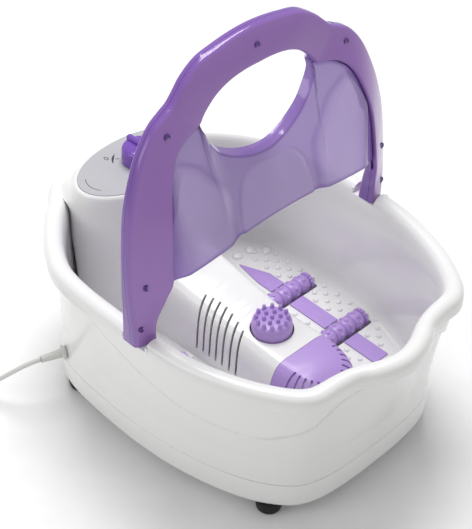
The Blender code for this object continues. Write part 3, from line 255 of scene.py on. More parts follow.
# ---------------------------------------------------------------- basin moulding
# One injection moulding in glossy white ABS: a rounded rim with a skirt, the tub wall, two
# footbeds, the ridge between them and the pod for the controls.
HALF_WIDTH, HALF_LENGTH = 0.165, 0.2275
RIM_Z, LIP_LOW_Z, SEAM_Z, BED_Z, FOOT_H = 0.185, 0.168, 0.046, 0.045, 0.014
WALL = 0.0025
BED_EDGE = 0.0062              # footbed edge behind the outside of the housing
RIM_SHAPE = (
    (0.000, 1.000), (0.273, 0.958), (0.388, 0.923), (0.497, 0.870), (0.582, 0.791),
    (0.667, 0.738), (0.824, 0.598), (0.897, 0.514), (0.970, 0.396), (1.000, 0.220),
    (1.000, 0.000), (0.988, -0.220), (0.958, -0.396), (0.885, -0.580), (0.794, -0.725),
    (0.679, -0.848), (0.564, -0.901), (0.448, -0.905), (0.303, -0.919), (0.224, -0.958),
    (0.103, -0.989), (0.000, -1.000),
)
RIM_KINKS = (4, 18)
BASE_SHAPE = (
    (0.000, 0.866), (0.242, 0.844), (0.364, 0.813), (0.479, 0.765), (0.576, 0.712),
    (0.665, 0.665), (0.835, 0.535), (0.890, 0.455), (0.918, 0.345), (0.930, 0.189),
    (0.930, 0.000), (0.910, -0.189), (0.870, -0.350), (0.805, -0.515), (0.720, -0.655),
    (0.610, -0.762), (0.520, -0.808), (0.420, -0.832), (0.303, -0.845), (0.212, -0.850),
    (0.103, -0.853), (0.000, -0.853),
)
OUTLINE_STEP = 0.0055


def full_outline(table, kinks=()):
    """The closed outline, clockwise from the toe, point for point the same in each table."""
    scale = Vector((HALF_WIDTH, HALF_LENGTH))
    points = [Vector(p) * scale for p in table]
    rim = [Vector(p) * scale for p in RIM_SHAPE]
    half = []
    for i in range(len(points) - 1):
        before = points[i - 1] if i else Vector((-points[1].x, points[1].y))
        after = (points[i + 2] if i + 2 < len(points)
                 else Vector((-points[-2].x, points[-2].y)))
        if i in kinks:
            before = 2 * points[i] - points[i + 1]
        if i + 1 in kinks:
            after = 2 * points[i + 1] - points[i]
        steps = max(2, round((rim[i + 1] - rim[i]).length / OUTLINE_STEP))
        half += [catmull(before, points[i], points[i + 1], after, k / steps)
                 for k in range(steps)]
    half.append(points[-1])
    return half + [Vector((-p.x, p.y)) for p in half[-2:0:-1]]


def inset(points, distance):
    """The outline moved inwards in small steps, and eased so that corners stay clean."""
    steps = max(1, math.ceil(abs(distance) / 0.002))
    for _ in range(steps):
        line = []
        for before, here, after in zip(points[-1:] + points, points, points[1:] + points[:1]):
            along = (after - before).normalized()
            line.append(here + Vector((along.y, -along.x)) * (distance / steps))
        points = [here * 0.6 + (before + after) * 0.2 for before, here, after
                  in zip(line[-1:] + line, line, line[1:] + line[:1])]
    return points


def level(points, z):
    """The same outline at a height."""
    return [Vector((p.x, p.y, z)) for p in points]


RIM = full_outline(RIM_SHAPE, RIM_KINKS)
BASE = full_outline(BASE_SHAPE)
WALL_TOP = inset(RIM, 0.007)


def wall_line(z, behind=0.0):
    """The housing's outer wall at a height, moved inwards; it is upright below the seam."""
    share = min(1.0, max(0.0, (LIP_LOW_Z - z) / (LIP_LOW_Z - SEAM_Z)))
    line = [a.lerp(b, share) for a, b in zip(WALL_TOP, BASE)]
    return inset(line, behind) if behind else line


def loft(rings, ends=True):
    """A skin through rings of equal length, capped at both ends or closed on itself."""
    shape = bmesh.new()
    rows = [[shape.verts.new(point) for point in ring] for ring in rings]
    count = len(rings[0])
    for low, high in zip(rows, rows[1:] if ends else rows[1:] + rows[:1]):
        for i in range(count):
            j = (i + 1) % count
            shape.faces.new((low[i], low[j], high[j], high[i]))
    if ends:
        shape.faces.new(rows[0][::-1])
        shape.faces.new(rows[-1])
    bmesh.ops.recalc_face_normals(shape, faces=shape.faces)
    return shape


def box_shape(x, half_x, y, half_y, low, high, round_r=0.0):
    """A block about X and Y, from one height to another, its upright edges rounded."""
    shape = bmesh.new()
    bmesh.ops.create_cube(shape, size=1.0)
    for vert in shape.verts:
        vert.co = (x + 2 * half_x * vert.co.x, y + 2 * half_y * vert.co.y,
                   low if vert.co.z < 0 else high)
    if round_r:
        upright = [e for e in shape.edges
                   if abs(e.verts[0].co.z - e.verts[1].co.z) > (high - low) / 2]
        bmesh.ops.bevel(shape, geom=upright, offset=round_r, segments=4, affect="EDGES",
                        profile=0.5)
    return shape


def rod_shape(start, end, radius, sides=32):
    """A cylinder between two points."""
    start, end = Vector(start), Vector(end)
    shape = bmesh.new()
    bmesh.ops.create_cone(shape, cap_ends=True, segments=sides, radius1=radius,
                          radius2=radius, depth=(end - start).length)
    turn = Vector((0, 0, 1)).rotation_difference(end - start).to_matrix().to_4x4()
    return moved(shape, Matrix.Translation((start + end) / 2) @ turn)


def moved(shape, matrix):
    """The same shape, put somewhere else."""
    bmesh.ops.transform(shape, matrix=matrix, verts=shape.verts)
    return shape


def several(shapes):
    """Separate closed bodies in one shape."""
    whole = bmesh.new()
    for shape in shapes:
        part = bpy.data.meshes.new("part")
        shape.to_mesh(part)
        shape.free()
        whole.from_mesh(part)
        bpy.data.meshes.remove(part)
    return whole


def finished_mesh(made):
    """The mesh that an object has once its modifiers or letters are worked out."""
    bpy.context.view_layer.update()
    return bpy.data.meshes.new_from_object(
        made.evaluated_get(bpy.context.evaluated_depsgraph_get()))


def evaluated(made):
    """Replaces an object's mesh by its finished mesh."""
    mesh = finished_mesh(made)
    made.modifiers.clear()
    made.data = mesh
    mesh.shade_smooth()
    mesh.set_sharp_from_angle(angle=math.radians(35))


def boolean(made, shape, operation="DIFFERENCE"):
    """One exact Boolean with a closed shape, applied; the tool object is removed."""
    tool = mesh_object("tool", shape)
    step = made.modifiers.new("Boolean", "BOOLEAN")
    step.operation = operation
    step.solver = "EXACT"
    step.object = tool
    evaluated(made)
    bpy.data.objects.remove(tool)


# A smooth glossy moulding; its skin shows only faint flow and a very fine peel.
white_abs = moulded("injection_moulded_white_abs", "#EFEFEE", 0.2, peel_mm=4.0,
                    peel_depth=0.000012, shade=0.012, Coat_Weight=0.25, Coat_Roughness=0.08)


def inner_wall(z, extra=0.0):
    """The tub's inside at a height, between the rim's inner edge and the footbed's edge."""
    share = min(1.0, max(0.0, (LIP_LOW_Z - z) / (LIP_LOW_Z - BED_Z)))
    return wall_line(max(z, SEAM_Z), 0.0145 + (BED_EDGE - 0.0145) * share + extra)


over = [level(inset(RIM, d), z) for d, z in (
    (0.0, LIP_LOW_Z), (0.0, RIM_Z - 0.0095), (0.0004, RIM_Z - 0.0068),
    (0.0014, RIM_Z - 0.0042), (0.0032, RIM_Z - 0.0020), (0.0056, RIM_Z - 0.0006),
    (0.0086, RIM_Z), (0.0120, RIM_Z - 0.0002), (0.0152, RIM_Z - 0.0014),
    (0.0178, RIM_Z - 0.0040), (0.0194, RIM_Z - 0.0078), (0.0204, RIM_Z - 0.0125))]
over += [level(inner_wall(z), z) for z in (0.166, 0.156, 0.142, 0.126, 0.110, 0.094, 0.080,
                                           0.068, 0.060)]
over += [level(inner_wall(z, extra), z) for z, extra in (
    (0.0550, 0.0006), (0.0510, 0.0020), (0.0478, 0.0045), (0.0458, 0.0078), (0.0450, 0.0120))]
under = [level(inset(RIM, d), z) for d, z in (
    (WALL, LIP_LOW_Z), (WALL, RIM_Z - 0.0095), (0.0046, RIM_Z - 0.0046),
    (0.0086, RIM_Z - WALL), (0.0130, RIM_Z - WALL - 0.0004), (0.0168, RIM_Z - 0.0075),
    (0.0178, RIM_Z - 0.0130))]
under += [level(inner_wall(z, -WALL), z) for z in (0.164, 0.130, 0.090, 0.060)]
under += [level(inner_wall(z, extra), z) for z, extra in (
    (0.0500, 0.0004), (0.0450, 0.0050), (0.0425, 0.0115))]
tub = mesh_object("basin_moulding", loft(over[::-1] + under), white_abs)

ISLAND_TOP_Z, ISLAND_HALF_W, ISLAND_END_Y = 0.099, 0.046, -0.150
COVER_Y, COVER_T = -0.089, 0.0026
ISLAND_STATIONS = (
    (0.118, 0.020, 1.12), (0.080, 0.015, 1.08), (0.040, 0.011, 1.02), (0.000, 0.005, 0.98),
    (-0.030, 0.001, 0.96), (-0.060, 0.000, 0.97), (-0.0885, 0.000, 1.00),
)
ISLAND_END = (
    (0.00, 0.000, 1.00), (0.25, 0.000, 0.98), (0.50, 0.0015, 0.92), (0.72, 0.006, 0.80),
    (0.88, 0.015, 0.62), (0.97, 0.026, 0.42), (1.00, 0.036, 0.28),
)


def refined(rows, steps):
    """Rows of numbers made denser along a smooth line."""
    points = [Vector(row) for row in rows]
    return curve_through(points, steps)


def island_ring(y, top, half_w, shrink, bottom):
    """One cross-section: a flat top with round shoulders and drafted sides."""
    w, z = half_w - shrink, top - shrink
    side = refined([(w, 0.0, bottom), (0.955 * w, 0.0, BED_Z + 0.30 * (z - BED_Z)),
                    (0.88 * w, 0.0, BED_Z + 0.66 * (z - BED_Z)),
                    (0.77 * w, 0.0, BED_Z + 0.87 * (z - BED_Z)),
                    (0.63 * w, 0.0, BED_Z + 0.97 * (z - BED_Z)), (0.46 * w, 0.0, z)], 4)
    return ([Vector((p.x, y, p.z)) for p in side]
            + [Vector((-p.x, y, p.z)) for p in side[::-1]])


def island(shrink, bottom, with_body=True, with_end=True):
    """The ridge between the footbeds, its rounded heel end, or both, drawn in all over."""
    rings = []
    if with_body:
        for y, rise, share in refined(ISLAND_STATIONS, 4):
            rings.append(island_ring(y, ISLAND_TOP_Z + rise, ISLAND_HALF_W * share,
                                     shrink, bottom))
    if with_end:
        length = COVER_Y - (ISLAND_END_Y + shrink)
        for share, drop, width in refined(ISLAND_END, 3):
            rings.append(island_ring(COVER_Y - share * length, ISLAND_TOP_Z - drop,
                                     ISLAND_HALF_W * width, shrink, bottom))
    return loft(rings)


POD_Y, POD_Z = 0.145, 0.205
POD_CENTRE = Vector((0.0, POD_Y))
PLATE_A, PLATE_B, PLATE_T, GAP = 0.076, 0.043, 0.0015, 0.0004
SHAFT_HOLE_R = 0.0042
POD_SIDES = 96


def ray_radius(line, way):
    """Distance from the pod's centre to a closed outline along a direction."""
    best = 0.0
    for a, b in zip(line, line[1:] + line[:1]):
        edge = b - a
        cross = way.x * edge.y - way.y * edge.x
        if abs(cross) > 1e-12:
            away = a - POD_CENTRE
            reach = (away.x * edge.y - away.y * edge.x) / cross
            along = (away.x * way.y - away.y * way.x) / cross
            if reach > 0 and -1e-9 <= along <= 1 + 1e-9:
                best = max(best, reach)
    return best


def pod_ring(z, half_a, half_b, back_line=None, shrink=0.0):
    """An oval, whose back half may run out to a line behind it."""
    ring = []
    for i in range(POD_SIDES):
        angle = 2 * math.pi * i / POD_SIDES
        way = heading(angle)
        radius = 1 / math.hypot(way.x / (half_a - shrink), way.y / (half_b - shrink))
        if back_line is not None and way.y > 0:
            radius += (ray_radius(back_line, way) - radius) * ease(way.y, 0.0, 0.5)
        spot = POD_CENTRE + way * radius
        ring.append(Vector((spot.x, spot.y, z)))
    return ring


LOW_Z = BED_Z - WALL * 0.6
TOP_A, TOP_B = PLATE_A + 0.0045, PLATE_B + 0.0045
pod = loft([
    pod_ring(LOW_Z, TOP_A + 0.012, TOP_B + 0.022, wall_line(BED_Z, 0.010)),
    pod_ring(BED_Z + 0.004, TOP_A + 0.0095, TOP_B + 0.019, wall_line(BED_Z, 0.010)),
    pod_ring(BED_Z + 0.030, TOP_A + 0.006, TOP_B + 0.012, wall_line(BED_Z, 0.012)),
    pod_ring(RIM_Z - 0.050, TOP_A + 0.0045, TOP_B + 0.007, inset(RIM, 0.0195)),
    pod_ring(RIM_Z - 0.013, TOP_A + 0.003, TOP_B + 0.003, inset(RIM, 0.019)),
    pod_ring(RIM_Z - 0.002, TOP_A + 0.0024, TOP_B + 0.0022, inset(RIM, 0.012)),
    pod_ring(RIM_Z + 0.004, TOP_A + 0.002, TOP_B + 0.0018, inset(RIM, 0.020)),
    pod_ring(POD_Z - 0.006, TOP_A + 0.001, TOP_B + 0.001),
    pod_ring(POD_Z - 0.0028, TOP_A + 0.0004, TOP_B + 0.0004),
    pod_ring(POD_Z - 0.0010, TOP_A - 0.0006, TOP_B - 0.0006),
    pod_ring(POD_Z, TOP_A - 0.0022, TOP_B - 0.0022),
    pod_ring(POD_Z - 0.0002, PLATE_A + GAP + 0.0008, PLATE_B + GAP + 0.0008),
    pod_ring(POD_Z - 0.0007, PLATE_A + GAP, PLATE_B + GAP),
    pod_ring(POD_Z - PLATE_T - 0.0003, PLATE_A + GAP, PLATE_B + GAP),
])
boolean(tub, pod, "UNION")
boolean(tub, island(0.0, LOW_Z, with_end=False), "UNION")
boolean(tub, island(COVER_T + GAP, LOW_Z), "UNION")
boolean(tub, loft([
    pod_ring(LOW_Z - 0.01, TOP_A + 0.008, TOP_B + 0.018, wall_line(BED_Z, 0.014)),
    pod_ring(BED_Z + 0.030, TOP_A + 0.003, TOP_B + 0.009, wall_line(BED_Z, 0.016)),
    pod_ring(RIM_Z - 0.050, TOP_A + 0.0015, TOP_B + 0.004, inset(RIM, 0.0235)),
    pod_ring(RIM_Z - 0.013, TOP_A, TOP_B, inset(RIM, 0.023)),
    pod_ring(POD_Z - 0.012, TOP_A - 0.003, TOP_B - 0.003),
    pod_ring(POD_Z - PLATE_T - 0.0032, TOP_A - 0.008, TOP_B - 0.008),
]))
boolean(tub, island(COVER_T + GAP + WALL, LOW_Z - 0.01))
boolean(tub, rod_shape((0, POD_Y, POD_Z - 0.02), (0, POD_Y, POD_Z + 0.02), SHAFT_HOLE_R))

BED_X, ROLLER_Y, ROLLER_Z, ROLLER_R, ROLLER_LEN = 0.090, (0.017, -0.063), 0.0465, 0.0115, 0.066
WELL_HALF, WELL_WIDE = ROLLER_LEN / 2 + 0.0018, ROLLER_R + 0.0018
WELL_DEEP = ROLLER_Z - ROLLER_R - 0.0018
roller_spots = [(sign * BED_X, y) for sign in (-1, 1) for y in ROLLER_Y]
boolean(tub, several([box_shape(x, WELL_HALF + WALL, y, WELL_WIDE + WALL, WELL_DEEP - WALL,
                                BED_Z - 0.001, 0.004) for x, y in roller_spots]), "UNION")
boolean(tub, several([box_shape(x, WELL_HALF, y, WELL_WIDE, WELL_DEEP, BED_Z + 0.05, 0.0025)
                      for x, y in roller_spots]))
well_ends = [(x + end * WELL_HALF, y, end) for x, y in roller_spots for end in (-1, 1)]
boolean(tub, several([box_shape(x + end * 0.0023, 0.0019, y, 0.0045, BED_Z - 0.001,
                                ROLLER_Z + 0.0042, 0.001) for x, y, end in well_ends]), "UNION")
boolean(tub, several([box_shape(x + end * 0.0008, 0.0018, y, 0.0024, ROLLER_Z - 0.0024,
                                ROLLER_Z + 0.0024) for x, y, end in well_ends]))

# The socket of the massage puck, the seats of the splash guard, seven louvres over the left
# shoulder of the ridge and four small vents beside each footbed.
NODE_Y, NODE_R, NODE_SINK = -0.049, 0.021, 0.006
boolean(tub, rod_shape((0, NODE_Y, ISLAND_TOP_Z - NODE_SINK), (0, NODE_Y, ISLAND_TOP_Z + 0.02),
                       NODE_R + 0.0014, sides=64))
SEAT_Y, SEAT_HALF = -0.034, 0.0150
boolean(tub, several([box_shape(sign * 0.1546, 0.0086, SEAT_Y, SEAT_HALF + WALL, 0.1740, 0.1815)
                      for sign in (-1, 1)]), "UNION")
boolean(tub, several([box_shape(sign * 0.235, 0.095, SEAT_Y, SEAT_HALF, 0.1761, 0.205)
                      for sign in (-1, 1)]))
LOUVRES = ((0.020, 0.026), (0.017, 0.018), (0.015, 0.010), (0.0145, 0.001), (0.016, -0.009),
           (0.019, -0.0205), (0.023, -0.032))
slots = [moved(box_shape(-0.021, 0.021, 0.0, 0.00125, 0.0555, 0.130, 0.0011),
               Matrix.Translation((-start_x, start_y, 0))
               @ Matrix.Rotation(math.radians(24), 4, "Z"))
         for start_x, start_y in LOUVRES]
slots += [box_shape(sign * 0.071, 0.0045, y, 0.0014, 0.040, 0.050, 0.0012)
          for sign in (-1, 1) for y in (0.069, 0.059, 0.048, 0.038)]
boolean(tub, several(slots))
fix(tub, "basin", "inner_basin", slot="white_shell")


def repeated(name, unit, spots, finish_material, turn_to=None):
    """Geometry Nodes: one unit shape set on every spot, turned so that its +Z follows a way."""
    holder = mesh_object(name + "_unit", unit)
    mesh = bpy.data.meshes.new(name)
    mesh.from_pydata([tuple(spot) for spot in spots], [], [])
    ways = mesh.attributes.new("way", "FLOAT_VECTOR", "POINT")
    for k, entry in enumerate(ways.data):
        entry.vector = turn_to[k] if turn_to else (0.0, 0.0, 1.0)
    made = add_object(name, mesh)
    tree = bpy.data.node_groups.new(name + "_nodes", "GeometryNodeTree")
    face = tree.interface
    face.new_socket("Spots", in_out="INPUT", socket_type="NodeSocketGeometry")
    unit_socket = face.new_socket("Unit", in_out="INPUT", socket_type="NodeSocketObject")
    finish_socket = face.new_socket("Finish", in_out="INPUT", socket_type="NodeSocketMaterial")
    face.new_socket("Result", in_out="OUTPUT", socket_type="NodeSocketGeometry")
    given = tree.nodes.new("NodeGroupInput").outputs
    way = add_node(tree, "GeometryNodeInputNamedAttribute", {"Name": "way"},
                   data_type="FLOAT_VECTOR")
    turn = add_node(tree, "FunctionNodeAlignRotationToVector",
                    {"Vector": way.outputs["Attribute"]}, axis="Z")
    shape = add_node(tree, "GeometryNodeObjectInfo", {"Object": given["Unit"]})
    placed = add_node(tree, "GeometryNodeInstanceOnPoints", {
        "Points": given["Spots"], "Instance": shape.outputs["Geometry"],
        "Rotation": turn.outputs["Rotation"]})
    real = add_node(tree, "GeometryNodeRealizeInstances", {"Geometry": placed.outputs[0]})
    painted = add_node(tree, "GeometryNodeSetMaterial", {
        "Geometry": real.outputs[0], "Material": given["Finish"]})
    tree.links.new(painted.outputs[0], tree.nodes.new("NodeGroupOutput").inputs["Result"])
    step = made.modifiers.new("Repeat", "NODES")
    step.node_group = tree
    step[unit_socket.identifier] = holder
    step[finish_socket.identifier] = finish_material
    evaluated(made)
    bpy.data.objects.remove(holder)
    return made


def turned_shape(profile, steps=40):
    """A closed body turned about Z from (radius, height) points, top to bottom."""
    shape = bmesh.new()
    rows = []
    for radius, height in profile:
        if radius < 1e-6:
            rows.append([shape.verts.new((0, 0, height))])
        else:
            rows.append([shape.verts.new((
                radius * math.cos(2 * math.pi * k / steps),
                radius * math.sin(2 * math.pi * k / steps), height)) for k in range(steps)])
    for low, high in zip(rows, rows[1:]):
        for k in range(steps):
            j = (k + 1) % steps
            corners = [low[k % len(low)], low[j % len(low)], high[j % len(high)],
                       high[k % len(high)]]
            unique = list(dict.fromkeys(corners))
            if len(unique) > 2:
                shape.faces.new(unique)
    bmesh.ops.remove_doubles(shape, verts=shape.verts, dist=1e-7)
    bmesh.ops.recalc_face_normals(shape, faces=shape.faces)
    return shape


def dome(radius, height, steps=14, skirt=0.0006):
    """A low round nub, with a short skirt below its foot."""
    arc = [(radius * math.cos(math.radians(a)), height * math.sin(math.radians(a)))
           for a in (84, 68, 50, 32, 15)]
    return turned_shape([(0.0, height)] + arc + [(radius, 0.0), (radius, -skirt),
                                                 (0.0, -skirt)], steps)


# Massage nubs moulded on the footbeds: a staggered field on both sides of each stripe, clear
# of the roller wells, and three broad bumps by the toes.
NUB_ROWS, NUB_COLUMNS, NUB_STEP_Y, NUB_STEP_X = 24, 6, 0.0094, 0.0158
NUB_FIRST_X, NUB_FIRST_Y = 0.0580, -0.124
nub_spots = []
for sign in (-1, 1):
    for row in range(NUB_ROWS):
        y = NUB_FIRST_Y + row * NUB_STEP_Y
        edge = max(0.0, 0.132 - 0.055 * max(0.0, (-y - 0.075) / 0.05) ** 2
                   - 0.030 * max(0.0, (y - 0.070) / 0.03) ** 2)
        for column in range(NUB_COLUMNS):
            x = NUB_FIRST_X + column * NUB_STEP_X + (row % 2) * NUB_STEP_X / 2
            in_well = any(abs(y - ry) < 0.0185 for ry in ROLLER_Y) and x < 0.1290
            on_stripe = 0.0765 < x < 0.1035
            if x < edge and not in_well and not on_stripe and not (x < 0.078 and y > 0.03):
                nub_spots.append((sign * x, y, BED_Z))
fix(repeated("footbed_nubs", dome(0.0030, 0.0024), nub_spots, white_abs), "basin",
    slot="white_shell")
big_spots = [(sign * x, y, BED_Z) for sign in (-1, 1)
             for x, y in ((0.095, 0.1005), (0.1125, 0.0985), (0.1255, 0.0850))]
fix(repeated("toe_bumps", dome(0.0064, 0.0036, 24), big_spots, white_abs), "basin",
    slot="white_shell")

# ---------------------------------------------------------------- housing
# The outer wall is a separate moulding pushed up inside the rim's skirt. A crease sweeps
# down from the rim on each flank to the heel corner, and the wall below it is set back.
LEDGE_STEP = 0.0036
LEDGE_DEEP = 0.060


def ledge_height(index):
    """Height of the crease at a place on the outline."""
    spot = BASE[index]
    along = min(1.0, max(0.0, (0.075 - spot.y) / 0.240))
    across = min(1.0, abs(spot.x) / 0.115)
    flank = math.sin(math.pi * along * 0.62)
    return LIP_LOW_Z + 0.004 - LEDGE_DEEP * flank * across ** 1.4


def shell_ring(z):
    """The housing's outside at a height, with the wall below the crease set back."""
    ring = wall_line(z)
    for k, here in enumerate(ring):
        fade = min(1.0, max(0.0, (z - SEAM_Z) / 0.030))
        set_back = LEDGE_STEP * ease(ledge_height(k) - z, -0.002, 0.002) * fade
        ring[k] = here - here.normalized() * set_back
    return level(ring, z)


SHELL_TOP, SHELL_LOW = 0.1722, SEAM_Z + 0.0004
shell_heights = [SEAM_Z + 0.0010, *[SEAM_Z + 0.003 + k * 0.0022 for k in range(55)], SHELL_TOP]
shell_inner = [level(wall_line(z, WALL + LEDGE_STEP), z) for z in (SHELL_TOP, 0.12, SHELL_LOW)]
housing = mesh_object("housing_wall", loft(
    [level(wall_line(SEAM_Z, 0.0006), SHELL_LOW)] + [shell_ring(z) for z in shell_heights]
    + shell_inner, ends=False), white_abs)
boolean(housing, rod_shape(CORD_EXIT - CORD_WAY * 0.012, CORD_EXIT + CORD_WAY * 0.010, 0.0059))
fix(housing, "basin", "outer_shell", slot="white_shell")

base_rings = [level(wall_line(FOOT_H, d), z) for d, z in (
    (0.0095, FOOT_H + WALL), (0.0060, FOOT_H + WALL + 0.0012), (0.0034, FOOT_H + 0.0075),
    (WALL + 0.0004, SEAM_Z - 0.0004), (0.0008, SEAM_Z - 0.0004), (0.0002, SEAM_Z - 0.0009),
    (0.0, SEAM_Z - 0.003), (0.0, FOOT_H + 0.0070), (0.0006, FOOT_H + 0.0038),
    (0.0022, FOOT_H + 0.0014), (0.0050, FOOT_H), (0.0085, FOOT_H))]
FEET = {"foot_toe_left": (-0.131, 0.102), "foot_toe_right": (0.131, 0.102),
        "foot_heel_left": (-0.1025, -0.1505), "foot_heel_right": (0.1025, -0.1505)}
SCREWS = [(sign * x, y) for x, y in ((0.072, -0.138), (0.1285, -0.022), (0.100, 0.112))
          for sign in (-1, 1)]
pan = mesh_object("base_pan", loft(base_rings), white_abs)
boolean(pan, several(
    [rod_shape((x, y, 0.004), (x, y, 0.024), 0.0023, sides=20) for x, y in SCREWS]
    + [rod_shape((x, y, 0.004), (x, y, 0.024), 0.0042, sides=20) for x, y in FEET.values()]
    + [box_shape(0.0, 0.030, y, 0.0015, 0.004, 0.024, 0.0013)
       for y in (-0.0625, -0.0545, -0.0465, -0.0385)]))
fix(pan, "basin", "base_cover", slot="white_shell")

# ---------------------------------------------------------------- feet and base screws
# Four push-in feet in black rubber with a rounded tread edge.
black_rubber = moulded("moulded_black_rubber", "#0C0C0C", 0.62, peel_mm=0.8,
                       peel_depth=0.00008, shade=0.2)
for name, (x, y) in FEET.items():
    top = FOOT_H + WALL
    foot = mesh_object(name + "_pad", moved(turned_shape([
        (0.0, top + 0.004), (0.0024, top + 0.004), (0.0046, top + 0.0014),
        (0.0046, top + 0.0004), (0.0034, top + 0.0004), (0.0034, FOOT_H - 0.0004),
        (0.0122, FOOT_H - 0.0004), (0.0131, FOOT_H - 0.0009), (0.0135, FOOT_H - 0.0020),
        (0.0129, 0.0040), (0.0124, 0.0016), (0.0117, 0.0004), (0.0107, 0.0),
        (0.0062, 0.0), (0.0056, 0.0008), (0.0, 0.0008)], 48), Matrix.Translation((x, y, 0))),
        black_rubber)
    fix(foot, "basin", name, slot="foot_rubber")
zinc = moulded("zinc_plated_steel", "#B9B9B4", 0.34, peel_mm=0.5, peel_depth=0.00001,
               Metallic=1.0)


def screw_unit(reach):
    """A pan-head screw with its head up and its neck at Z = 0."""
    return turned_shape([
        (0.0, 0.0016), (0.0004, 0.0024), (0.0016, 0.0024), (0.0028, 0.0017),
        (0.0032, 0.0007), (0.0032, 0.0), (0.0015, 0.0), (0.0015, 0.0012 - reach),
        (0.0, -reach)], 24)


fix(repeated("base_screws", screw_unit(0.020), [(x, y, FOOT_H - GAP) for x, y in SCREWS],
             zinc, [(0, 0, -1)] * len(SCREWS)), "basin",
    *["base_screw_" + place + "_" + side for place in ("heel", "middle", "toe")
      for side in ("left", "right")], slot="screw_steel")

# ---------------------------------------------------------------- control pod
# A matt grey label, printed with crescents, ticks and dial numbers.
label_grey = moulded("printed_label_polycarbonate", "#B2B2B6", 0.42, peel_mm=0.7,
                     peel_depth=0.00001, shade=0.02)
ink = moulded("label_ink", "#2E2C36", 0.5)
label = mesh_object("label_plate", loft([
    pod_ring(POD_Z - PLATE_T, PLATE_A, PLATE_B), pod_ring(POD_Z - 0.0004, PLATE_A, PLATE_B),
    pod_ring(POD_Z, PLATE_A, PLATE_B, shrink=0.0004)]), label_grey)
boolean(label, rod_shape((0, POD_Y, POD_Z - 0.015), (0, POD_Y, POD_Z + 0.015), SHAFT_HOLE_R))
fix(label, "basin", "control_panel_plate", slot="label_plate")


def print_band(points, width):
    """A flat printed line, 0.06 mm proud of the label."""
    shape = bmesh.new()
    rows = []
    for k, here in enumerate(points):
        along = (points[min(k + 1, len(points) - 1)] - points[max(k - 1, 0)]).normalized()
        across = Vector((-along.y, along.x)) * (width[k] / 2)
        rows.append([shape.verts.new((p.x, p.y, z)) for z in (POD_Z - 0.0002, POD_Z + 0.00006)
                     for p in (here - across, here + across)])
    for a, b in zip(rows, rows[1:]):
        for i, j in ((0, 1), (1, 3), (3, 2), (2, 0)):
            shape.faces.new((a[i], a[j], b[j], b[i]))
    shape.faces.new((rows[0][0], rows[0][1], rows[0][3], rows[0][2]))
    shape.faces.new((rows[-1][0], rows[-1][1], rows[-1][3], rows[-1][2]))
    bmesh.ops.recalc_face_normals(shape, faces=shape.faces)
    return shape


DIAL_ANGLES = (135, 45, -45, -135)
CRESCENT_R, TICK, DIGIT_R = 0.0290, (0.0228, 0.0262), 0.0355
prints = []
for start in DIAL_ANGLES:
    angles = [math.radians(start - 16 + 32 * k / 12) for k in range(13)]
    line = [POD_CENTRE + heading(a) * CRESCENT_R for a in angles]
    prints.append(print_band(line, [0.0003 + 0.0021 * math.sin(math.pi * k / 12)
                                    for k in range(13)]))
    way = heading(math.radians(start))
    prints.append(print_band([POD_CENTRE + way * reach for reach in TICK], [0.0010] * 2))
for sign in (-1, 1):
    angles = [math.radians(90 + sign * (90 - 20 + 40 * k / 16)) for k in range(17)]
    line = [POD_CENTRE + Vector((math.cos(a) * 0.067, math.sin(a) * 0.036)) for a in angles]
    prints.append(print_band(line, [0.0007] * 17))
fix(mesh_object("label_marks", several(prints), ink), "basin", slot="label_plate")
for number, start in enumerate(DIAL_ANGLES):
    letters = bpy.data.curves.new("dial_number_" + str(number), "FONT")
    letters.body = str(number)
    letters.size = 0.0092
    letters.extrude = 0.00006
    letters.align_x = letters.align_y = "CENTER"
    text = add_object("dial_number_text", letters)
    mesh = finished_mesh(text)
    bpy.data.objects.remove(text)
    spot = POD_CENTRE + heading(math.radians(start)) * DIGIT_R
    mesh.transform(Matrix.Translation((spot.x, spot.y, POD_Z)))
    mesh.materials.clear()
    mesh.materials.append(ink)
    fix(add_object("dial_number_" + str(number), mesh), "basin", slot="label_plate")

# The knob is clear violet, with a raised grip across its top.
clear_knob = moulded("clear_violet_knob", "#8455C4", 0.12, peel_mm=3.0, peel_depth=0.000008,
                     Transmission_Weight=0.25, Coat_Weight=0.3)
low, top = POD_Z + GAP, POD_Z + 0.0224
knob = mesh_object("knob_cap", moved(turned_shape([
    (0.0, top - 0.0040), (0.0150, top - 0.0041), (0.0168, top - 0.0046),
    (0.0182, top - 0.0056), (0.0190, top - 0.0072), (0.0194, top - 0.0095),
    (0.0199, low + 0.0030), (0.0200, low + 0.0006), (0.0196, low), (0.0030, low),
    (0.0030, POD_Z - 0.022), (0.0, POD_Z - 0.022)], 72), Matrix.Translation((0, POD_Y, 0))),
    clear_knob)
ridge = box_shape(0.0, 0.0034, POD_Y, 0.0190, low + 0.006, top)
bmesh.ops.bevel(ridge, geom=ridge.edges[:], offset=0.0022, segments=4, affect="EDGES",
                profile=0.5)
boolean(knob, ridge, "UNION")
fix(knob, "knob", "control_knob", slot="knob")

# ---------------------------------------------------------------- massage fittings
# Rollers, lift-out puck, heel cover and stripes are lilac ABS with a satin skin.
lilac_abs = moulded("satin_lilac_abs", "#B596DA", 0.3, peel_mm=1.6, peel_depth=0.00002,
                    shade=0.04, Coat_Weight=0.1)


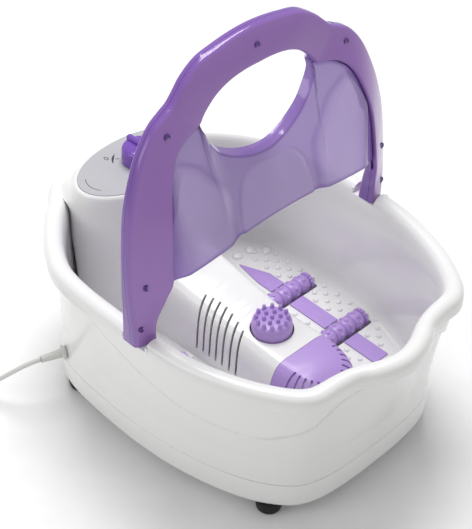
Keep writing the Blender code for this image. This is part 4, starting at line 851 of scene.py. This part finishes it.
def roller_shape():
    """A sleeve along X in four drums parted by grooves, with fluted end caps."""
    half, drums = ROLLER_LEN / 2, 4
    pitch = (ROLLER_LEN - 0.010) / drums
    line = [(0.0024, half), (0.0078, half), (0.0088, half - 0.0006), (0.0092, half - 0.0040),
            (0.0080, half - 0.0044)]
    for k in range(drums):
        high = half - 0.005 - pitch * k
        line += [(0.0082, high), (0.0092, high - 0.0009), (0.0098, high - 0.0028),
                 (0.0100, high - pitch / 2), (0.0098, high - pitch + 0.0028),
                 (0.0092, high - pitch + 0.0009), (0.0080, high - pitch + 0.0001)]
    line += [(0.0080, -half + 0.0044), (0.0092, -half + 0.0040), (0.0088, -half + 0.0006),
             (0.0078, -half), (0.0024, -half)]
    return turned_shape(line + [line[0]], 40)


for x, y in roller_spots:
    name = ("toe" if y > 0 else "heel") + "_" + ("left" if x < 0 else "right")
    spin = Matrix.Translation((x, y, ROLLER_Z)) @ Matrix.Rotation(math.radians(90), 4, "Y")
    sleeve = mesh_object("roller_sleeve_" + name, moved(roller_shape(), spin), lilac_abs)
    rings = [((drum - 1.5) * 0.0140, 0.0098, 8, 0.5 * (drum % 2)) for drum in range(4)]
    rings += [(end * (ROLLER_LEN / 2 - 0.0022), 0.0088, 14, 0.0) for end in (-1, 1)]
    spots, ways = [], []
    for along, radius, count, start in rings:
        for k in range(count):
            ways.append(Vector((0.0, *heading(2 * math.pi * (k + start) / count))))
            spots.append(Vector((x + along, y, ROLLER_Z)) + ways[-1] * radius)
    bumps = repeated("roller_nubs_" + name, dome(0.0023, 0.0017, 10, 0.0008), spots, lilac_abs,
                     ways)
    fix(sleeve, "roller_" + name + "_body", "roller_" + name, slot="lilac_plastic")
    fix(bumps, "roller_" + name + "_body", slot="lilac_plastic")

NODE_LOW, NODE_TOP = ISLAND_TOP_Z - NODE_SINK + 0.0004, ISLAND_TOP_Z + 0.014
puck = mesh_object("massage_puck_body", moved(turned_shape([
    (0.0, NODE_TOP + 0.0006), (0.0120, NODE_TOP + 0.0003), (0.0172, NODE_TOP - 0.0006),
    (0.0192, NODE_TOP - 0.0018), (0.0203, NODE_TOP - 0.0038), (0.0207, NODE_TOP - 0.0080),
    (0.0210, NODE_LOW), (0.0, NODE_LOW)], 72), Matrix.Translation((0, NODE_Y, 0))), lilac_abs)
fix(puck, "massage_puck", "massage_node", slot="lilac_plastic")
spots = [(radius * math.cos(2 * math.pi * (k + 0.5) / count),
          NODE_Y + radius * math.sin(2 * math.pi * (k + 0.5) / count), NODE_TOP)
         for count, radius in ((1, 0.0), (6, 0.0085), (12, 0.0162)) for k in range(count)]
peg = turned_shape([(0.0, 0.0051), (0.0008, 0.0050), (0.0015, 0.0045), (0.0019, 0.0036),
                    (0.0021, 0.0012), (0.0025, 0.0), (0.0025, -0.0016), (0.0, -0.0016)], 18)
fix(repeated("massage_puck_nubs", peg, spots, lilac_abs), "massage_puck",
    slot="lilac_plastic")

# The clip-on heel cover: a smooth rounded shell with slots fanned round its edge.
cover = mesh_object("heel_cover_shell", island(0.0, BED_Z, with_body=False), lilac_abs)
boolean(cover, box_shape(0.0, 0.1, (ISLAND_END_Y + COVER_Y) / 2,
                         (COVER_Y - ISLAND_END_Y) / 2 + 0.01, BED_Z - 0.01, BED_Z + 0.012))
boolean(cover, island(COVER_T, BED_Z - 0.01, with_body=False))
FAN_SLOTS, FAN_STEP = 15, 13.5      # how many, and the degrees from one to the next
boolean(cover, several([
    moved(box_shape(0.05275, 0.02725, 0.0, 0.00115, 0.066, 0.110, 0.0010),
          Matrix.Translation((0, COVER_Y - 0.021, 0))
          @ Matrix.Rotation(math.radians(FAN_STEP * (k - FAN_SLOTS // 2) - 90), 4, "Z"))
    for k in range(FAN_SLOTS)]))
fix(cover, "heel_cover", "slotted_cover", slot="lilac_plastic")

# ---------------------------------------------------------------- splash guard
# Two clear violet channel halves screwed together round the edge of a paler clear panel.
# Band and panel go over to a darker violet where their "edge" attribute is set: painted shade
# at edges and borders.
clear_band = moulded("clear_violet_band", "#B98ADD", 0.14, peel_mm=5.0, peel_depth=0.00001,
                     shade=0.05, edge_shade_colour="#8A5FBE", Transmission_Weight=0.3,
                     Coat_Weight=0.3)
clear_panel = moulded("clear_violet_panel", "#CDB9EC", 0.12, peel_mm=6.0,
                      peel_depth=0.00001, shade=0.03, edge_shade_colour="#A583D2",
                      Transmission_Weight=0.5, Coat_Weight=0.3)
BAND = (
    (1.008, -0.0085, -0.040, 0.876, -0.0085, -0.0460),
    (1.010, 0.0120, -0.040, 0.873, 0.0150, -0.0475),
    (1.010, 0.0400, -0.038, 0.830, 0.0440, -0.0550),
    (1.004, 0.0680, -0.036, 0.797, 0.0600, -0.0580),
    (0.982, 0.1020, -0.034, 0.783, 0.0860, -0.0565),
    (0.945, 0.1320, -0.031, 0.764, 0.1150, -0.0535),
    (0.893, 0.1560, -0.029, 0.727, 0.1420, -0.0470),
    (0.820, 0.1805, -0.027, 0.668, 0.1650, -0.0390),
    (0.727, 0.1990, -0.025, 0.570, 0.1785, -0.0330),
    (0.636, 0.2075, -0.0235, 0.436, 0.1845, -0.0290),
    (0.584, 0.2115, -0.0225, 0.405, 0.1905, -0.0285),
    (0.533, 0.2190, -0.0215, 0.367, 0.1970, -0.0280),
    (0.470, 0.2285, -0.0200, 0.306, 0.2055, -0.0280),
    (0.364, 0.2390, -0.0190, 0.227, 0.2115, -0.0280),
    (0.242, 0.2435, -0.0185, 0.145, 0.2145, -0.0280),
    (0.121, 0.2463, -0.0180, 0.070, 0.2155, -0.0280),
    (0.000, 0.2475, -0.0180, 0.000, 0.2155, -0.0280),
)
BAND_DEPTH = (0.020, 0.018, 0.015, 0.013)
PARTING, PANEL_T, GUARD_WALL = 0.0065, 0.0022, 0.0024
PANEL_CLEAR, PANEL_GRIP = 0.0018, 0.0045     # beside and inside the band's inner edge


def band_edges(row, sign=1):
    """Outer and inner front edge of the band at a row, smooth between the rows."""
    spot = min(int(row), len(BAND) - 2)
    rows = []
    for k in (spot - 1, spot, spot + 1, spot + 2):
        mirrored = k > len(BAND) - 1
        values = list(BAND[min(max(0, k), 2 * (len(BAND) - 1) - k)])
        if mirrored:
            values[0], values[3] = -values[0], -values[3]
        rows.append(Vector(values))
    xo, zo, yo, xi, zi, yi = catmull(*rows, row - spot)
    return (Vector((sign * xo * HALF_WIDTH, yo, RIM_Z + zo)),
            Vector((sign * xi * HALF_WIDTH, yi, RIM_Z + zi)))


def band_depth(row):
    """Depth of the whole band from front to back at a row."""
    spot = min(int(row), len(BAND_DEPTH) - 1)
    after = min(spot + 1, len(BAND_DEPTH) - 1)
    return BAND_DEPTH[spot] + (BAND_DEPTH[after] - BAND_DEPTH[spot]) * (row - spot)


def edge_tone(made, values):
    """Writes how much painted shade each point gets: how far its colour goes over to the darker
    edge colour.
    """
    attribute = made.data.attributes.new("edge", "FLOAT", "POINT")
    for entry, value in zip(attribute.data, values):
        entry.value = value


def band_half(name, front):
    """One channel half of the band, front or rear, open towards the other half."""
    rings, edges = [], []
    last = (len(BAND) - 1) * 5
    places = [(k / 5, -1) for k in range(last)] + [(k / 5, 1) for k in range(last, -1, -1)]
    soft = 0.0034
    corner = [(soft * (1 - math.cos(math.radians(a))), soft * (1 - math.sin(math.radians(a))))
              for a in (0, 18, 36, 54, 72, 90)]
    for row, sign in places:
        outer, inner = band_edges(row, sign)
        thick = band_depth(min(row, len(BAND_DEPTH) - 1))
        length = (outer - inner).length
        hold = PANEL_T / 2 + 0.0009 if 2 <= row <= 9 else 0.0002
        deep = PARTING if front else thick - PARTING
        w = GUARD_WALL
        # The third number of each profile point is painted shade: full on the rounded edges and
        # rims, none across the middle of the face, part on the channel's inside.
        profile = [(0.0, deep - hold, 1.0)] + [(a, b, 1.0 - k / 5) for k, (a, b)
                                               in enumerate(corner)]
        profile += [(length * 0.35, -0.0004, 0.0), (length * 0.65, -0.0004, 0.0)]
        profile += [(length - a, b, 1.0 - k / 5) for k, (a, b) in
                    list(enumerate(corner))[::-1]]
        profile += [(length, deep - 0.0002, 1.0), (length - w, deep - 0.0002, 1.0),
                    (length - w, w + 0.0008, 0.4), (w, w + 0.0008, 0.4),
                    (w, deep - hold, 1.0)]
        along = (outer - inner) / length
        ring = []
        for distance, depth, _ in profile:
            point = inner + along * distance
            point.y += depth if front else thick - depth
            ring.append(point)
        rings.append(ring)
        edges += [edge * 0.85 for _, _, edge in profile]
    made = mesh_object(name, loft(rings), clear_band, 50.0)
    edge_tone(made, edges)
    return made


fix(band_half("guard_band_front", True), "guard", "guard_front_band", slot="guard_band")
fix(band_half("guard_band_rear", False), "guard", "guard_rear_band", slot="guard_band")

PANEL_ROWS, PANEL_CORNER = (3, 9), 5
WINDOW_LOW = ((0.436, 0.1845), (0.418, 0.176), (0.376, 0.160), (0.303, 0.145),
              (0.152, 0.132), (0.000, 0.1295))


def spread(points, shares):
    """Points at shares of a polyline's length."""
    lengths = [(b - a).length for a, b in zip(points, points[1:])]
    whole, found = sum(lengths), []
    for share in shares:
        target = share * whole
        for k, length in enumerate(lengths):
            if target <= length or k == len(lengths) - 1:
                found.append(points[k].lerp(points[k + 1], min(1.0, target / length)))
                break
            target -= length
    return found


def panel_border(sign):
    """The panel's side and top edge at one side, beside the band's inner edge."""
    side, head = [], []
    for line, first, last, steps in ((side, PANEL_ROWS[0], PANEL_CORNER, 20),
                                     (head, PANEL_CORNER, PANEL_ROWS[1], 32)):
        for k in range(steps + 1):
            outer, inner = band_edges(first + (last - first) * k / steps, sign)
            along = (outer - inner).normalized()
            line.append(inner - along * PANEL_CLEAR + Vector((0, PARTING, 0)))
    low = [Vector((sign * share * HALF_WIDTH,
                   -0.034 - 0.010 * (1 - share / WINDOW_LOW[0][0]) + PARTING,
                   RIM_Z + height)) for share, height in WINDOW_LOW]
    mirror = Vector((-low[-2].x, low[-2].y, low[-2].z))
    return side, head + curve_through([head[-1]] + low[1:], 6, (head[-3], mirror))[1:]


west, head_left = panel_border(-1)
east, head_right = panel_border(1)
head = head_left + head_right[-2::-1]
bottom = []
for k in range(33):
    bow = math.sin(math.pi * k / 32)
    bottom.append(west[0].lerp(east[0], k / 32) + Vector((0, -0.002 * bow, 0.010 * bow * bow)))
ACROSS, UP = 150, 76
SWELL_DEPTH, ARCH_DEPTH = 0.0048, 0.0014
ARCH_HALF, ARCH_SPRING_Z, ARCH_RISE, ARCH_POWER = 0.0445, 0.236, 0.0690, 3.6
us, vs = [i / ACROSS for i in range(ACROSS + 1)], [j / UP for j in range(UP + 1)]
low_line, top_line = spread(bottom, us), spread(head, us)
west_line, east_line = spread(west, vs), spread(east, vs)
sheet = bmesh.new()
rows, painted_shade_values = [], []
for j, v in enumerate(vs):
    row = []
    for i, u in enumerate(us):
        corners = (low_line[0] * (1 - u) * (1 - v) + low_line[-1] * u * (1 - v)
                   + top_line[0] * (1 - u) * v + top_line[-1] * u * v)
        here = (low_line[i] * (1 - v) + top_line[i] * v + west_line[j] * (1 - u)
                + east_line[j] * u - corners)
        x, z = abs(here.x), here.z
        # Two foot-shaped swells stand forward beside a raised arch in the middle.
        inner_edge = 0.050 + 0.030 * ease(z, 0.290, 0.345) + 0.035 * ease(z, 0.330, 0.362)
        rim = min(u, 1 - u)
        swell = (ease(x, inner_edge, inner_edge + 0.016) * ease(rim, 0.0, 0.07)
                 * ease(1 - v, 0.0, 0.12))
        arch = ((x / ARCH_HALF) ** ARCH_POWER
                + (max(0.0, z - ARCH_SPRING_Z) / ARCH_RISE) ** ARCH_POWER) ** (1 / ARCH_POWER)
        raised = ease(1.03 - arch, 0.0, 0.035)
        here.y -= SWELL_DEPTH * swell + ARCH_DEPTH * raised
        row.append(sheet.verts.new(here))
        # Painted shade: a dark line along the inner boundary of each swell, the parts outside
        # the swells and the raised arch darker than these, and dark borders along the bottom,
        # the sides and the window.
        line = (math.exp(-((x - inner_edge - 0.004) / 0.0035) ** 2) * 0.3
                * ease(rim, 0.0, 0.05) * ease(1 - v, 0.03, 0.12)
                + 0.28 * (1 - raised) * (1 - swell))
        painted_shade_values.append(min(1.0, line + 0.9 * ease(0.05 - v, 0.0, 0.05)
                               + 0.8 * ease(0.15 - rim, 0.0, 0.15)
                               + 0.8 * ease(v, 0.96, 1.0)))
    rows.append(row)
lip = [sheet.verts.new(p + Vector((0, 0.0035, 0.0014))) for p in top_line]
lip_rear = [sheet.verts.new(p + Vector((0, 0.0100, 0.0030))) for p in top_line]
# The window's rolled lip is painted dark as shade.
painted_shade_values += [0.9] * len(lip) * 2
rows += [lip, lip_rear]
for a, b in zip(rows, rows[1:]):
    for i in range(ACROSS):
        sheet.faces.new((a[i], a[i + 1], b[i + 1], b[i]))
# The strips held in the band's channel are painted part dark as shade.
for line, side_rows, sign in ((west_line, 0, -1), (east_line, ACROSS, 1)):
    held = []
    for j, v in enumerate(vs):
        place = PANEL_ROWS[0] + (PANEL_CORNER - PANEL_ROWS[0]) * v
        outer, inner = band_edges(place, sign)
        reach = (outer - inner).normalized() * (PANEL_CLEAR + PANEL_GRIP)
        held.append(sheet.verts.new(line[j] + reach))
        painted_shade_values.append(0.6)
    for j in range(UP):
        sheet.faces.new((held[j], rows[j][side_rows], rows[j + 1][side_rows], held[j + 1]))
panel = mesh_object("guard_panel_sheet", sheet, clear_panel)
edge_tone(panel, painted_shade_values)
skin = panel.modifiers.new("Sheet", "SOLIDIFY")
skin.thickness = PANEL_T
skin.offset = 0.0
evaluated(panel)
fix(panel, "guard", "guard_panel", slot="guard_panel")

# Seven pan-head screws from behind; their posts show through the front as dark rings.
GUARD_SCREWS = ((16.0, 0.50), (8.0, 0.60), (2.8, 0.62), (1.0, 0.70))
screw_points, post_points = [], []
for number, (row, share) in enumerate(GUARD_SCREWS):
    for sign in (-1, 1) if number else (1,):
        outer, inner = band_edges(row, sign)
        place = inner.lerp(outer, share)
        screw_points.append(place + Vector((0, band_depth(min(row, 3)) - 0.0008, 0)))
        post_points.append(place + Vector((0, -0.0002, 0)))
names = ["guard_screw_crown"] + ["guard_screw_" + place + "_" + side
                                 for place in ("shoulder", "side", "leg")
                                 for side in ("left", "right")]
fix(repeated("guard_screws", screw_unit(0.0085), screw_points, zinc, [(0, 1, 0)] * 7),
    "guard", *names, slot="screw_steel")
deep_violet = moulded("deep_violet_post", "#4F2C7C", 0.2)
fix(repeated("guard_post_rings", turned_shape([
    (0.0, 0.0005), (0.0020, 0.0005), (0.0022, 0.0008), (0.0031, 0.0008), (0.0034, 0.0004),
    (0.0034, -0.0012), (0.0, -0.0012)], 28), post_points, deep_violet, [(0, -1, 0)] * 7),
    "guard", slot="guard_band")

# ---------------------------------------------------------------- inside and small parts
# What is behind the covers keeps the model's own form, with each part's real finish.
bright_steel = moulded("turned_bright_steel", "#C4C4C2", 0.22, peel_mm=0.4, Metallic=1.0)
dark_nylon = moulded("glass_filled_dark_nylon", "#232323", 0.5, peel_mm=0.6,
                     peel_depth=0.00004)
pale_nylon = moulded("pale_nylon", "#D9D5C8", 0.45)
foil = moulded("heater_foil", "#C89A6A", 0.35, peel_mm=3.0, peel_depth=0.0001, Metallic=1.0)
board = moulded("fibreglass_circuit_board", "#1E5A2E", 0.45, peel_mm=0.6)
silicone = moulded("silicone_air_tube", "#CFCFC8", 0.4)
for start, paint in (
        ("roller_axle", bright_steel), ("vibration_motor", bright_steel),
        ("eccentric_weight", bright_steel), ("motor_clamp", dark_nylon),
        ("air_pump", dark_nylon), ("jet_bar", dark_nylon), ("rotary_switch", dark_nylon),
        ("thermostat", dark_nylon), ("terminal_block", pale_nylon), ("heater_plate", foil),
        ("control_board", board), ("air_hose", silicone), ("cord_strain_relief", pvc_flex),
        ("power_plug", pvc_flex), ("inlay", lilac_abs)):
    for name, solid in nodes.items():
        if name.startswith(start):
            solid.data.materials.clear()
            solid.data.materials.append(paint)

# ---------------------------------------------------------------- floor and light
floor = bmesh.new()
bmesh.ops.create_grid(floor, x_segments=1, y_segments=1, size=6.0)
ground = mesh_object("floor", floor, moulded("matt_floor_paint", "#F4F4F4", 0.85))


def soft_light(name, place, aim, size, power):
    """A square studio panel that faces a point."""
    data = bpy.data.lights.new(name, "AREA")
    data.shape = "SQUARE"
    data.size = size
    data.energy = power
    lamp = add_object(name, data)
    lamp.location = place
    lamp.rotation_euler = (Vector(aim) - Vector(place)).to_track_quat("-Z", "Y").to_euler()


soft_light("key_panel", (0.45, 0.55, 2.1), (0, 0, 0.1), 1.1, 33)
soft_light("left_panel", (-1.5, 0.5, 1.0), (0, 0, 0.15), 0.8, 4)
world = bpy.data.worlds.new("studio")
world.use_nodes = True
background = world.node_tree.nodes["Background"].inputs
background["Color"].default_value = (1.0, 1.0, 1.0, 1.0)
background["Strength"].default_value = 0.5
bpy.context.scene.world = world
bpy.context.scene.view_settings.view_transform = "Standard"
